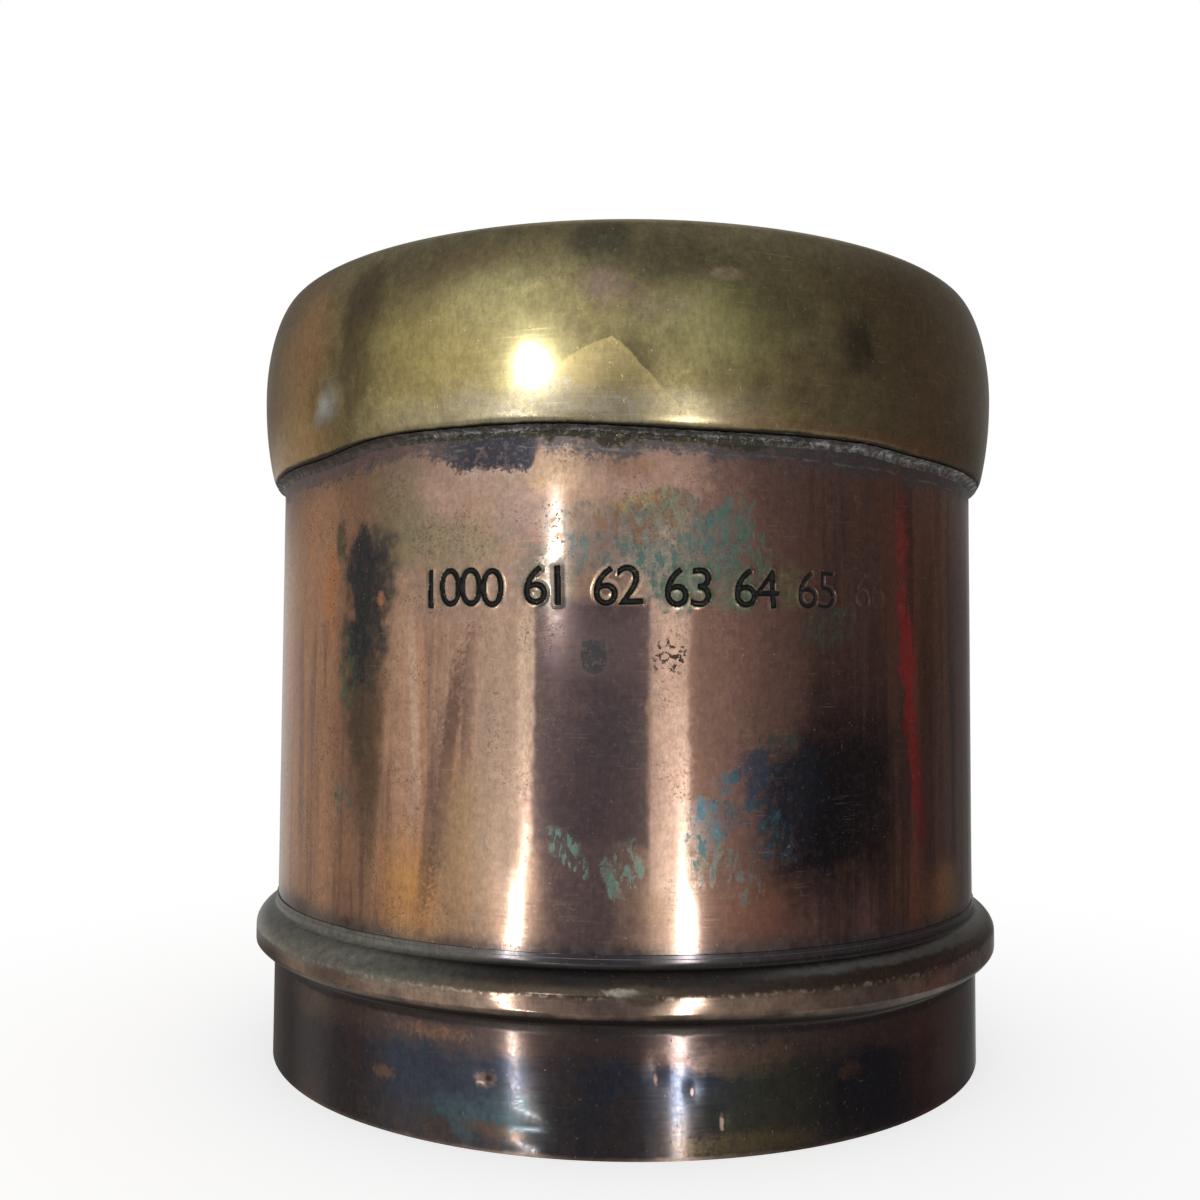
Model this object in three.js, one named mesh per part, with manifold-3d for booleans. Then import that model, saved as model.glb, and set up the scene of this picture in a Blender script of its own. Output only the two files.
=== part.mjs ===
// Copper litre measuring cup with a brass mouth band and a foot band with a hollow bead.
// Millimetres, +Z up. The axis of the cup is Z, its foot stands on z = 0 and its front faces -Y.
// The seams of the sheets are at the back, about +Y.

import * as THREE from 'three';
import { mergeVertices } from 'three/addons/utils/BufferGeometryUtils.js';
import Module from 'manifold-3d';

// Whole cup
const TOTAL_HEIGHT = 118.8;
const JOINT_GAP = 0.25; // room between two sheets, or between a sheet and its solder
const SEGMENTS = 72; // facets round the cup

// Copper wall, a plain rolled tube
const SHELL_RADIUS = 57.6; // outside
const SHELL_THICKNESS = 1.2;
const SHELL_SEAM_ANGLE = 0; // degrees round from the back

// Brass mouth band, its top folded over the edge of the wall
const COLLAR_HEIGHT = 28.2;
const COLLAR_PROUD = 3.3; // how far its fullest ring stands outside the wall
const COLLAR_THICKNESS = 1.0;
const COLLAR_SEAM_ANGLE = 14;
const COLLAR_FULLEST = 14.1; // height of the fullest ring above the lower edge
const COLLAR_EDGE_PROUD = 1.65; // where the turned-in lower edge would have its sharp corner
const COLLAR_TURN_HEIGHT = 1.3; // height of the round at the lower edge
const COLLAR_LEAN = 0.23; // outward lean just above that round, as a slope
const BARREL_REACH = 2.3; // reach of the barrel's curve up from the lower edge's round
const BARREL_DROP = 6.1; // reach of the barrel's curve down from the fullest ring
const CROWN_RISE = 7.5; // reach of the crown's curve up from the fullest ring
const CROWN_REACH = 1.5; // reach of the crown's curve out from the striking edge
const STRIKING_EDGE = 0.6; // width of the flat ring on top
const FOLD_RADIUS = 0.3; // inside the fold over the wall
const LIP_DEPTH = 6.0; // how far the fold reaches down inside the cup

// Solder fillet under the mouth band
const COLLAR_SOLDER_WIDTH = 1.3;
const COLLAR_SOLDER_HEIGHT = 1.5;

// Foot band with its swaged bead
const FOOT_PROUD = 0.4; // how far the skirt stands outside the wall
const FOOT_THICKNESS = 1.0;
const FOOT_SEAM_ANGLE = -10;
const BEAD_HEIGHT = 19.6; // centre of the bead above the ground
const BEAD_PROUD = 3.1; // how far the bead stands outside the skirt
const BEAD_RADIUS = 4.0;
const GROOVE_RADIUS = 0.7; // fillet below the bead
const BEAD_FILLET = 1.6; // fillet above the bead
const FOOT_LIP_THICKNESS = 0.3; // the band's upper edge, filed thin
const FOOT_LIP_HEIGHT = 0.5; // straight part of that edge

// Solder line on the band's upper edge
const FOOT_SOLDER_WIDTH = 0.35;
const FOOT_SOLDER_HEIGHT = 0.9;

// Bottom plate, pressed up into the wall, and its solder
const BOTTOM_THICKNESS = 1.2;
const BOTTOM_FLANGE = 6.0; // height of its upturned edge
const BOTTOM_BEND = 2.0; // outside radius of the bend
const BOTTOM_RISE = 1.2; // how far its middle is pushed up
const BOTTOM_RINGS = 3; // steps of its section from the middle to the bend
const BOTTOM_SOLDER_WIDTH = 3.0;
const BOTTOM_SOLDER_HEIGHT = 1.6;

// Brazed seams of the three sheets
const SEAM_WIDTH = 2.0;

// How far a solder fillet's hollow face keeps out of its corner, as a share of its legs
const FILLET_FULLNESS = 0.3;

const COPPER = { color: 0x9a5f45, roughness: 0.32, metalness: 1.0 };
const BRASS = { color: 0x8f8250, roughness: 0.34, metalness: 1.0 };
const TARNISHED_COPPER = { color: 0x4b4542, roughness: 0.38, metalness: 1.0 };
const SOLDER = { color: 0x8d8f8c, roughness: 0.5, metalness: 0.9 };
const SPELTER = { color: 0xa58a4e, roughness: 0.45, metalness: 1.0 };

const RIGHT_ANGLE = Math.PI / 2;
const wasm = await Module();
wasm.setup();

/** A point of a section, by its radius and its height. */
const point = (radius, height) => new THREE.Vector2(radius, height);

/** A straight stretch of a section. */
const line = (from, to) => new THREE.LineCurve(from, to);

/** A round stretch of a section, from one angle to another about its centre. */
function arc(centre, radius, from, to) {
  const clockwise = to < from;
  return new THREE.EllipseCurve(centre.x, centre.y, radius, radius, from, to, clockwise);
}

/**
 * The section of a bent sheet. Its face follows the legs, and its back lies to the left of them.
 * Each leg has a curve, its number of steps, and the sheet's thickness at its start and its end.
 */
function sheetSection(legs) {
  const face = [];
  const back = [];
  for (const { curve, steps, thickness } of legs) {
    const [start, end] = thickness;
    for (let step = face.length === 0 ? 0 : 1; step <= steps; step += 1) {
      const share = step / steps;
      const place = curve.getPoint(share);
      const along = curve.getTangent(share);
      const left = point(-along.y, along.x);
      face.push(place);
      back.push(place.clone().addScaledVector(left, THREE.MathUtils.lerp(start, end, share)));
    }
  }
  return { back, outline: [...face, ...back.toReversed(), face[0]] };
}

/** The height at which a line of points first crosses a radius. */
function heightAtRadius(points, radius) {
  const after = points.findIndex((p, i) => i > 0 && (points[i - 1].x - radius) * (p.x - radius) <= 0);
  const [a, b] = [points[after - 1], points[after]];
  return THREE.MathUtils.mapLinear(radius, a.x, b.x, a.y, b.y);
}

/** A concave fillet in the corner at a point, reaching out and up or down from it. */
function filletSection(corner, width, height) {
  const curve = new THREE.QuadraticBezierCurve(
    point(corner.x, corner.y + height),
    point(corner.x + width * FILLET_FULLNESS, corner.y + height * FILLET_FULLNESS),
    point(corner.x + width, corner.y),
  );
  return [corner, ...curve.getPoints(3), corner];
}

/** Turns a section about the Z axis. */
function turned(section) {
  const geometry = new THREE.LatheGeometry(section, SEGMENTS);
  geometry.rotateX(RIGHT_ANGLE);
  return geometry;
}

/** A solid for cutting, from a geometry. */
function solid(geometry) {
  const plain = geometry.clone();
  plain.deleteAttribute('normal');
  plain.deleteAttribute('uv');
  const merged = mergeVertices(plain);
  return new wasm.Manifold(new wasm.Mesh({
    numProp: 3,
    vertProperties: merged.getAttribute('position').array,
    triVerts: new Uint32Array(merged.getIndex().array),
  }));
}

/** A geometry, from a solid. */
function geometryOf(cut) {
  const mesh = cut.getMesh();
  const geometry = new THREE.BufferGeometry();
  geometry.setAttribute('position', new THREE.BufferAttribute(mesh.vertProperties, 3));
  geometry.setIndex(new THREE.BufferAttribute(mesh.triVerts, 1));
  geometry.computeVertexNormals();
  return geometry;
}

/** An upright slice of space at the back of the cup, turned round it by an angle in degrees. */
function backSlice(width, angle) {
  const reach = 2 * SHELL_RADIUS;
  const slice = new THREE.BoxGeometry(width, reach, 2 * TOTAL_HEIGHT);
  slice.translate(0, reach / 2, TOTAL_HEIGHT / 2);
  slice.rotateZ(THREE.MathUtils.degToRad(angle));
  return solid(slice);
}

/** Opens a rolled sheet at its seam, and makes the strip of braze that fills the seam. */
function seamed(section, angle) {
  const whole = solid(turned(section));
  const sheet = whole.subtract(backSlice(SEAM_WIDTH, angle));
  const braze = whole.intersect(backSlice(SEAM_WIDTH - 2 * JOINT_GAP, angle));
  return { sheet: geometryOf(sheet), braze: geometryOf(braze) };
}

/** The mouth band: turned-in edge, barrel, crown, flat striking edge, and fold down inside. */
function collarSection() {
  const lower = TOTAL_HEIGHT - COLLAR_HEIGHT;
  const fullest = point(SHELL_RADIUS + COLLAR_PROUD, lower + COLLAR_FULLEST);
  const edge = point(SHELL_RADIUS + JOINT_GAP, lower);
  const corner = point(SHELL_RADIUS + COLLAR_EDGE_PROUD, lower);
  const turnStart = edge.clone().lerp(corner, 0.5);
  const turnEnd = point(corner.x + COLLAR_TURN_HEIGHT * COLLAR_LEAN, lower + COLLAR_TURN_HEIGHT);
  const lipFace = SHELL_RADIUS - SHELL_THICKNESS - JOINT_GAP - COLLAR_THICKNESS;
  const rollRadius = COLLAR_THICKNESS + FOLD_RADIUS;
  const rollCentre = point(lipFace + rollRadius, TOTAL_HEIGHT - rollRadius);
  const flatInner = point(rollCentre.x, TOTAL_HEIGHT);
  const flatOuter = point(flatInner.x + STRIKING_EDGE, TOTAL_HEIGHT);
  const barrel = new THREE.CubicBezierCurve(
    turnEnd,
    point(turnEnd.x + BARREL_REACH * COLLAR_LEAN, turnEnd.y + BARREL_REACH),
    point(fullest.x, fullest.y - BARREL_DROP),
    fullest,
  );
  const crown = new THREE.CubicBezierCurve(
    fullest,
    point(fullest.x, fullest.y + CROWN_RISE),
    point(flatOuter.x + CROWN_REACH, TOTAL_HEIGHT),
    flatOuter,
  );
  const thickness = [COLLAR_THICKNESS, COLLAR_THICKNESS];
  return sheetSection([
    { curve: line(edge, turnStart), steps: 1, thickness },
    { curve: new THREE.QuadraticBezierCurve(turnStart, corner, turnEnd), steps: 2, thickness },
    { curve: barrel, steps: 4, thickness },
    { curve: crown, steps: 5, thickness },
    { curve: line(flatOuter, flatInner), steps: 1, thickness },
    { curve: arc(rollCentre, rollRadius, RIGHT_ANGLE, Math.PI), steps: 2, thickness },
    {
      curve: line(point(lipFace, rollCentre.y), point(lipFace, TOTAL_HEIGHT - LIP_DEPTH)),
      steps: 1,
      thickness,
    },
  ]);
}

/** Where the bead's circle, the skirt and the wall meet their fillets. */
function beadPlaces() {
  const skirt = SHELL_RADIUS + FOOT_PROUD;
  const lip = SHELL_RADIUS + JOINT_GAP + FOOT_LIP_THICKNESS;
  const centre = point(skirt + BEAD_PROUD - BEAD_RADIUS, BEAD_HEIGHT);
  const filletCentre = (radius, fillet, side) => {
    const across = radius + fillet - centre.x;
    const apart = BEAD_RADIUS + fillet;
    return point(radius + fillet, centre.y + side * Math.sqrt(apart * apart - across * across));
  };
  const groove = filletCentre(skirt, GROOVE_RADIUS, -1);
  const shoulder = filletCentre(lip, BEAD_FILLET, 1);
  return { skirt, lip, centre, groove, shoulder };
}

/** The foot band: skirt, groove, hollow bead, and the thin upper edge that hugs the wall. */
function footSection() {
  const { skirt, lip, centre, groove, shoulder } = beadPlaces();
  const grooveAngle = groove.clone().sub(centre).angle() - 2 * Math.PI;
  const shoulderAngle = shoulder.clone().sub(centre).angle();
  const full = [FOOT_THICKNESS, FOOT_THICKNESS];
  const thinned = [FOOT_THICKNESS, FOOT_LIP_THICKNESS];
  const thin = [FOOT_LIP_THICKNESS, FOOT_LIP_THICKNESS];
  return sheetSection([
    { curve: line(point(skirt, 0), point(skirt, groove.y)), steps: 1, thickness: full },
    {
      curve: arc(groove, GROOVE_RADIUS, Math.PI, grooveAngle + Math.PI),
      steps: 2,
      thickness: full,
    },
    { curve: arc(centre, BEAD_RADIUS, grooveAngle, shoulderAngle), steps: 7, thickness: full },
    {
      curve: arc(shoulder, BEAD_FILLET, shoulderAngle + Math.PI, Math.PI),
      steps: 3,
      thickness: thinned,
    },
    {
      curve: line(point(lip, shoulder.y), point(lip, shoulder.y + FOOT_LIP_HEIGHT)),
      steps: 1,
      thickness: thin,
    },
  ]);
}

/** The bottom plate: a shallow dish pushed up in the middle, with an upturned edge. */
function bottomSection(radius, height) {
  const bendRadius = radius - BOTTOM_BEND;
  const rise = (distance) => BOTTOM_RISE * Math.cos((distance / bendRadius) * RIGHT_ANGLE) ** 2;
  const ring = (step) => (step / BOTTOM_RINGS) * bendRadius;
  const steps = Array.from({ length: BOTTOM_RINGS + 1 }, (_, step) => step);
  const dish = steps.map((step) => point(ring(step), height + rise(ring(step))));
  const bendCentre = point(bendRadius, height + BOTTOM_BEND);
  const bend = arc(bendCentre, BOTTOM_BEND, -RIGHT_ANGLE, 0);
  const face = [...dish, ...bend.getPoints(3).slice(1), point(radius, height + BOTTOM_FLANGE)];
  const innerBend = arc(bendCentre, BOTTOM_BEND - BOTTOM_THICKNESS, 0, -RIGHT_ANGLE);
  const back = [
    point(radius - BOTTOM_THICKNESS, height + BOTTOM_FLANGE),
    ...innerBend.getPoints(3),
    ...dish.toReversed().slice(1).map((p) => point(p.x, p.y + BOTTOM_THICKNESS)),
  ];
  return [...face, ...back];
}

const cup = new THREE.Group();

/** Adds one piece of the cup. */
function add(name, geometry, finish) {
  const mesh = new THREE.Mesh(geometry, new THREE.MeshStandardMaterial(finish));
  mesh.name = name;
  cup.add(mesh);
}

const collar = collarSection();
const foot = footSection();
const wallInside = SHELL_RADIUS - SHELL_THICKNESS;

// The wall stands on the shoulder inside the bead and ends under the mouth band's fold.
const wallBase = heightAtRadius(foot.back, SHELL_RADIUS) + JOINT_GAP;
const wallTop = heightAtRadius(collar.back, SHELL_RADIUS) - JOINT_GAP;
const wall = seamed([
  point(SHELL_RADIUS, wallBase),
  point(SHELL_RADIUS, wallTop),
  point(wallInside, wallTop),
  point(wallInside, wallBase),
  point(SHELL_RADIUS, wallBase),
], SHELL_SEAM_ANGLE);
add('copper_shell', wall.sheet, COPPER);
add('shell_seam_braze', wall.braze, SPELTER);

const mouth = seamed(collar.outline, COLLAR_SEAM_ANGLE);
add('brass_collar', mouth.sheet, BRASS);
add('collar_seam_solder', mouth.braze, SOLDER);

const underCollar = point(SHELL_RADIUS + JOINT_GAP, TOTAL_HEIGHT - COLLAR_HEIGHT - JOINT_GAP);
const collarFillet = filletSection(underCollar, COLLAR_SOLDER_WIDTH, -COLLAR_SOLDER_HEIGHT);
add('collar_solder', turned(collarFillet), SOLDER);

const base = seamed(foot.outline, FOOT_SEAM_ANGLE);
add('foot_band', base.sheet, TARNISHED_COPPER);
add('foot_seam_braze', base.braze, SPELTER);

const lipTop = beadPlaces().shoulder.y + FOOT_LIP_HEIGHT;
const onLip = point(SHELL_RADIUS + JOINT_GAP, lipTop + JOINT_GAP);
const lipFillet = filletSection(onLip, FOOT_SOLDER_WIDTH, FOOT_SOLDER_HEIGHT);
add('foot_solder', turned(lipFillet.toReversed()), SOLDER);

add('bottom_plate', turned(bottomSection(wallInside - JOINT_GAP, wallBase)), COPPER);

// This fillet lies in the corner between the plate and the skirt, so it is turned the other way.
const underPlate = point(SHELL_RADIUS + FOOT_PROUD - FOOT_THICKNESS - JOINT_GAP, wallBase - JOINT_GAP);
const bottomFillet = filletSection(underPlate, -BOTTOM_SOLDER_WIDTH, -BOTTOM_SOLDER_HEIGHT);
add('bottom_solder', turned(bottomFillet.toReversed()), SOLDER);

export default cup;
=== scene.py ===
"""The looks of a copper litre measure: a rolled wall, a barrel-shaped brass mouth band and a beaded foot.

Sizes are in millimetres and angles in degrees round from the front, -Y, towards +X. Finished meshes are in
metres.
"""

import logging
import math
import random
from collections.abc import Callable, Iterable, Sequence
from dataclasses import dataclass, field
from enum import Enum

import bmesh
import bpy
from mathutils import Matrix, Vector, kdtree, noise
from mathutils.bvhtree import BVHTree
from mathutils.geometry import interpolate_bezier


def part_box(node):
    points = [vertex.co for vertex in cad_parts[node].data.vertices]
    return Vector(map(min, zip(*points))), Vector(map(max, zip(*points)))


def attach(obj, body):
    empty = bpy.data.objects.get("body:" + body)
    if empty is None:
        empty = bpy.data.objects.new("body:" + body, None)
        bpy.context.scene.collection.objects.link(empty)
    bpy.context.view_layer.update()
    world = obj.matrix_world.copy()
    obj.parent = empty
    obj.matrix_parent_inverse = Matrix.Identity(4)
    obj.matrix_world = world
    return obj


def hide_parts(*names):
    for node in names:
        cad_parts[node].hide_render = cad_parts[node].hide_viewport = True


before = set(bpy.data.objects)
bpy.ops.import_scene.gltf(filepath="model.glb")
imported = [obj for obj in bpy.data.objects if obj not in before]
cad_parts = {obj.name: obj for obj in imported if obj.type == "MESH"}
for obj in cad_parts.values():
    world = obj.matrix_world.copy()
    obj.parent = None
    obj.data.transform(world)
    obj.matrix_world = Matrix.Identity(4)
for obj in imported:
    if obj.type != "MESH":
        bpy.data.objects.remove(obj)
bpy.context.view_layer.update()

LOG = logging.getLogger("measure")
METRE = 0.001  # a millimetre, in metres
BODY = "root"
WALL_RADIUS = 57.6
WALL_SHEET = 1.2
JOINT_GAP = 0.25
TOTAL_HEIGHT = 118.8
SHARP_EDGE = math.radians(38)
SMALL_STAIN = 1.5  # a stain under this half size frays finely
SAME_PLACE = 1e-4
SEAM_LAP = 0.1  # degrees that a seam reaches under the band's ends
WHOLE_TURN = (180.0, 540.0)  # from the back round to the back
STRIP_COLOR = (1.0, 0.98, 0.95)
STRIP_DISTANCE = 620.0

Socket = bpy.types.NodeSocket
Tree = bpy.types.NodeTree
Material = bpy.types.Material
Piece = bpy.types.Object
Mesh = bmesh.types.BMesh
Feed = float | tuple[float, ...] | Socket
Color = tuple[float, float, float]
Row = tuple[float | Color, ...]
Span = tuple[float, float]
Stop = tuple[float, Color]
Shaper = Callable[[Vector], Vector]


class Op(Enum):
    """Sums that a Math node can do."""

    ADD = "ADD"
    SUBTRACT = "SUBTRACT"
    MULTIPLY = "MULTIPLY"
    DIVIDE = "DIVIDE"
    ARCTAN2 = "ARCTAN2"
    ARCSINE = "ARCSINE"
    ABSOLUTE = "ABSOLUTE"
    MAXIMUM = "MAXIMUM"
    SQUARE_ROOT = "SQRT"
    MULTIPLY_ADD = "MULTIPLY_ADD"


class Blend(Enum):
    """Ways to lay one colour over another."""

    MIX = "MIX"
    MULTIPLY = "MULTIPLY"


# Node benches


class Bench:
    """Lays out the nodes of one tree, each fed by plain values or by other nodes' outputs."""

    def __init__(self, tree: Tree) -> None:
        """Keeps the tree that the nodes go into."""
        self.tree = tree

    def put(self, kind: str, feeds: dict[str, Feed] | None = None, **settings: object) -> bpy.types.Node:
        """Adds one node.

        Args:
            kind: The node's type.
            feeds: What goes into its sockets, by the socket's identifier.
            settings: Its other properties.

        Returns:
            The new node.
        """
        node = self.tree.nodes.new(kind)
        for name, value in settings.items():
            setattr(node, name, value)
        for identifier, feed in (feeds or {}).items():
            socket = next(s for s in node.inputs if s.identifier == identifier)
            self.feed(socket, feed)
        return node

    def feed(self, socket: Socket, feed: Feed) -> None:
        """Links a socket to an output, or sets its value.

        Args:
            socket: The socket that is fed.
            feed: An output or a value.
        """
        if isinstance(feed, Socket):
            self.tree.links.new(feed, socket)
        elif isinstance(feed, tuple) and socket.type == "RGBA":
            socket.default_value = (*feed[:3], 1.0)
        else:
            socket.default_value = feed

    def math(self, op: Op, a: Feed, b: Feed = 0.0, c: Feed = 0.0, clamp: bool = False) -> Socket:
        """Does a sum of up to three values."""
        feeds = {"Value": a, "Value_001": b, "Value_002": c}
        return self.put("ShaderNodeMath", feeds, operation=op.value, use_clamp=clamp).outputs[0]

    def times(self, first: Feed, *others: Feed) -> Socket:
        """Multiplies values, one after another.

        Args:
            first: The first value.
            others: The values that multiply it.

        Returns:
            The product.
        """
        for other in others:
            first = self.math(Op.MULTIPLY, first, other)
        return first

    def scaled(self, value: Feed, by: Feed, plus: Feed, clamp: bool = False) -> Socket:
        """Multiplies a value, and adds to it."""
        return self.math(Op.MULTIPLY_ADD, value, by, plus, clamp)

    def less(self, value: Feed, other: Feed) -> Socket:
        """Takes one value from another."""
        return self.math(Op.SUBTRACT, value, other)

    def mix(self, share: Feed, under: Feed, over: Feed, blend: Blend = Blend.MIX) -> Socket:
        """Lays one colour over another by a share."""
        feeds = {"Factor_Float": share, "A_Color": under, "B_Color": over}
        return self.put("ShaderNodeMix", feeds, data_type="RGBA", blend_type=blend.value).outputs[2]

    def between(self, share: Feed, low: Feed, high: Feed) -> Socket:
        """Goes from one value to another by a share."""
        feeds = {"Factor_Float": share, "A_Float": low, "B_Float": high}
        return self.put("ShaderNodeMix", feeds, data_type="FLOAT").outputs[0]

    def step(self, value: Feed, start: Feed, end: Feed, low: float = 0.0, high: float = 1.0) -> Socket:
        """Rises softly from low to high while a value goes from start to end."""
        feeds = {"Value": value, "From Min": start, "From Max": end, "To Min": low, "To Max": high}
        return self.put("ShaderNodeMapRange", feeds, interpolation_type="SMOOTHSTEP").outputs[0]

    def window(self, value: Feed, start: Feed, full: Feed, last: Feed, end: Feed) -> Socket:
        """Rises softly while a value goes from start to full, and falls again from end to last."""
        return self.times(self.step(value, start, full), self.step(value, last, end))

    def vector(self, x: Feed, y: Feed, z: Feed) -> Socket:
        """Puts three values together as a place."""
        return self.put("ShaderNodeCombineXYZ", {"X": x, "Y": y, "Z": z}).outputs[0]

    def noise(self, place: Feed, scale: Feed, detail: float = 2, warp: float = 0,
              rough: float = 0.5) -> Socket:
        """A cloudy value of about 0.2 to 0.8 round a place."""
        feeds = {"Vector": place, "Scale": scale, "Detail": detail, "Distortion": warp, "Roughness": rough}
        return self.put("ShaderNodeTexNoise", feeds).outputs[0]

    def stretched(self, place: Feed, scale: Feed, turn: float = 0.0) -> Socket:
        """A place scaled along each axis, and turned about Z in radians."""
        feeds = {"Vector": place, "Rotation": (0.0, 0.0, turn), "Scale": scale}
        return self.put("ShaderNodeMapping", feeds).outputs[0]

    def ramp(self, share: Feed, stops: Sequence[Stop]) -> Socket:
        """Reads a colour off a row of stops.

        Args:
            share: How far along the row.
            stops: Places from 0 to 1, with colours.

        Returns:
            The colour.
        """
        node = self.put("ShaderNodeValToRGB", {"Fac": share})
        marks = node.color_ramp.elements
        while len(marks) < len(stops):
            marks.new(1.0)
        for mark, (position, color) in zip(marks, stops):
            mark.position = position
            mark.color = (*color, 1.0)
        return node.outputs[0]

    def group(self, tree: Tree, **feeds: Feed) -> bpy.types.Node:
        """Places a shared group, its inputs fed by name, with _ for a space.

        Args:
            tree: The group.
            feeds: What goes into its inputs.

        Returns:
            The group's node.
        """
        node = self.put("ShaderNodeGroup", node_tree=tree)
        for name, feed in feeds.items():
            self.feed(node.inputs[name.replace("_", " ")], feed)
        return node


def emptied(owner: Material | bpy.types.World) -> Bench:
    """A bench on the emptied nodes of a new material or world.

    Args:
        owner: The material or world.

    Returns:
        The bench.
    """
    owner.use_nodes = True
    owner.node_tree.nodes.clear()
    return Bench(owner.node_tree)


class Effects:
    """The node groups that more than one finish uses."""

    def __init__(self) -> None:
        """Builds every group once."""
        self.around = self._around()
        self.stain = self._stain()
        self.clouds = self._clouds()
        self.specks = self._specks()
        self.scratches = self._scratches()

    @staticmethod
    def _open(name: str, inputs: dict, outputs: Sequence[str]) -> tuple[Bench, dict, bpy.types.Node]:
        """Starts a group.

        Args:
            name: The group's name.
            inputs: Its inputs with their values, or None for a place.
            outputs: The names of its value outputs; one that ends in "place" is a vector.

        Returns:
            The bench, the inputs' sockets by name, and the node that takes the outputs.
        """
        tree = bpy.data.node_groups.new(name, "ShaderNodeTree")
        for label, value in inputs.items():
            kind = "NodeSocketVector" if value is None else "NodeSocketFloat"
            socket = tree.interface.new_socket(name=label, in_out="INPUT", socket_type=kind)
            if value is not None:
                socket.default_value = value
        for label in outputs:
            kind = "NodeSocketVector" if label.endswith("place") else "NodeSocketFloat"
            tree.interface.new_socket(name=label, in_out="OUTPUT", socket_type=kind)
        bench = Bench(tree)
        fed = bench.put("NodeGroupInput")
        sockets = {label: fed.outputs[label] for label in inputs}
        return bench, sockets, bench.put("NodeGroupOutput")

    def _around(self) -> Tree:
        """Unrolls the turned surface: degrees round from the front, and millimetres up and out.

        Returns:
            The group's tree.
        """
        outputs = ("Around", "Up", "Out", "Unrolled place")
        bench, into, out = self._open("unrolled_surface", {"Place": None}, outputs)
        apart = bench.put("ShaderNodeSeparateXYZ", {"Vector": into["Place"]}).outputs
        angle = bench.math(Op.ARCTAN2, apart[0], bench.times(apart[1], -1))
        around = bench.times(angle, 180 / math.pi)
        up = bench.times(apart[2], 1 / METRE)
        squares = bench.scaled(apart[0], apart[0], bench.times(apart[1], apart[1]))
        radius = bench.math(Op.DIVIDE, bench.math(Op.SQUARE_ROOT, squares), METRE)
        beyond = bench.less(radius, WALL_RADIUS)
        for socket, value in zip(out.inputs, (around, up, radius, bench.vector(around, up, beyond))):
            bench.feed(socket, value)
        return bench.tree

    def _stain(self) -> Tree:
        """A patch with a ragged edge: 1 inside it and 0 outside.

        Returns:
            The group's tree.
        """
        inputs = {
            "Around": 0, "Up": 0, "Ragged noise": 0, "At around": 0, "At up": 0, "Half width": 5,
            "Half height": 5, "Squareness": 0, "Softness": 0.3, "Raggedness": 0.5, "Lean": 0,
        }
        bench, into, out = self._open("stain_patch", inputs, ["Mask"])
        along = bench.less(into["Up"], into["At up"])
        across = bench.less(into["Around"], into["At around"])
        across = bench.less(across, bench.times(along, into["Lean"]))
        across = bench.math(Op.ABSOLUTE, bench.math(Op.DIVIDE, across, into["Half width"]))
        along = bench.math(Op.ABSOLUTE, bench.math(Op.DIVIDE, along, into["Half height"]))
        rounded = bench.math(Op.SQUARE_ROOT, bench.scaled(across, across, bench.times(along, along)))
        far = bench.between(into["Squareness"], rounded, bench.math(Op.MAXIMUM, across, along))
        far = bench.scaled(into["Ragged noise"], into["Raggedness"], far)
        outer = bench.math(Op.ADD, 1, into["Softness"])
        outside = bench.step(far, bench.less(1, into["Softness"]), outer)
        bench.feed(out.inputs["Mask"], bench.less(1, outside))
        return bench.tree

    def _clouds(self) -> Tree:
        """Two sizes of cloud over each other, as tarnish settles.

        Returns:
            The group's tree.
        """
        inputs = {"Place": None, "Size mm": 10, "Fine share": 0.35, "Contrast": 1}
        bench, into, out = self._open("tarnish_clouds", inputs, ["Cloud"])
        scale = bench.math(Op.DIVIDE, 1, into["Size mm"])
        broad = bench.noise(into["Place"], scale, 3, 0.6)
        fine = bench.noise(into["Place"], bench.times(scale, 7.3), 4, 0.2)
        both = bench.between(into["Fine share"], broad, fine)
        swing = bench.times(bench.less(both, 0.5), into["Contrast"])
        bench.feed(out.inputs["Cloud"], bench.scaled(swing, 3, 0.5, clamp=True))
        return bench.tree

    def _specks(self) -> Tree:
        """Small sharp-edged flecks and pits.

        Returns:
            The group's tree.
        """
        inputs = {"Place": None, "Size mm": 0.6, "Amount": 0.3}
        bench, into, out = self._open("flecks", inputs, ["Mask", "Soft"])
        scale = bench.math(Op.DIVIDE, 1, into["Size mm"])
        value = bench.noise(into["Place"], scale, 4, 0.1, 0.62)
        limit = bench.scaled(into["Amount"], -0.4, 0.7)
        sharp = bench.step(value, limit, bench.math(Op.ADD, limit, 0.05))
        bench.feed(out.inputs["Mask"], sharp)
        bench.feed(out.inputs["Soft"], value)
        return bench.tree

    def _scratches(self) -> Tree:
        """Fine polishing lines round the cup, with crossing hairlines: a height and a mask.

        Returns:
            The group's tree.
        """
        inputs = {"Place": None, "Unrolled": None, "Fineness": 1, "Crossing": 0.5}
        bench, into, out = self._open("polishing_lines", inputs, ["Height", "Hairlines"])

        def drawn(across: float, along: float, turn: float, scale: float) -> Socket:
            """A noise stretched along one direction."""
            placed = bench.stretched(into["Unrolled"], (across, along, along), turn)
            return bench.noise(placed, bench.times(into["Fineness"], scale))

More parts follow.
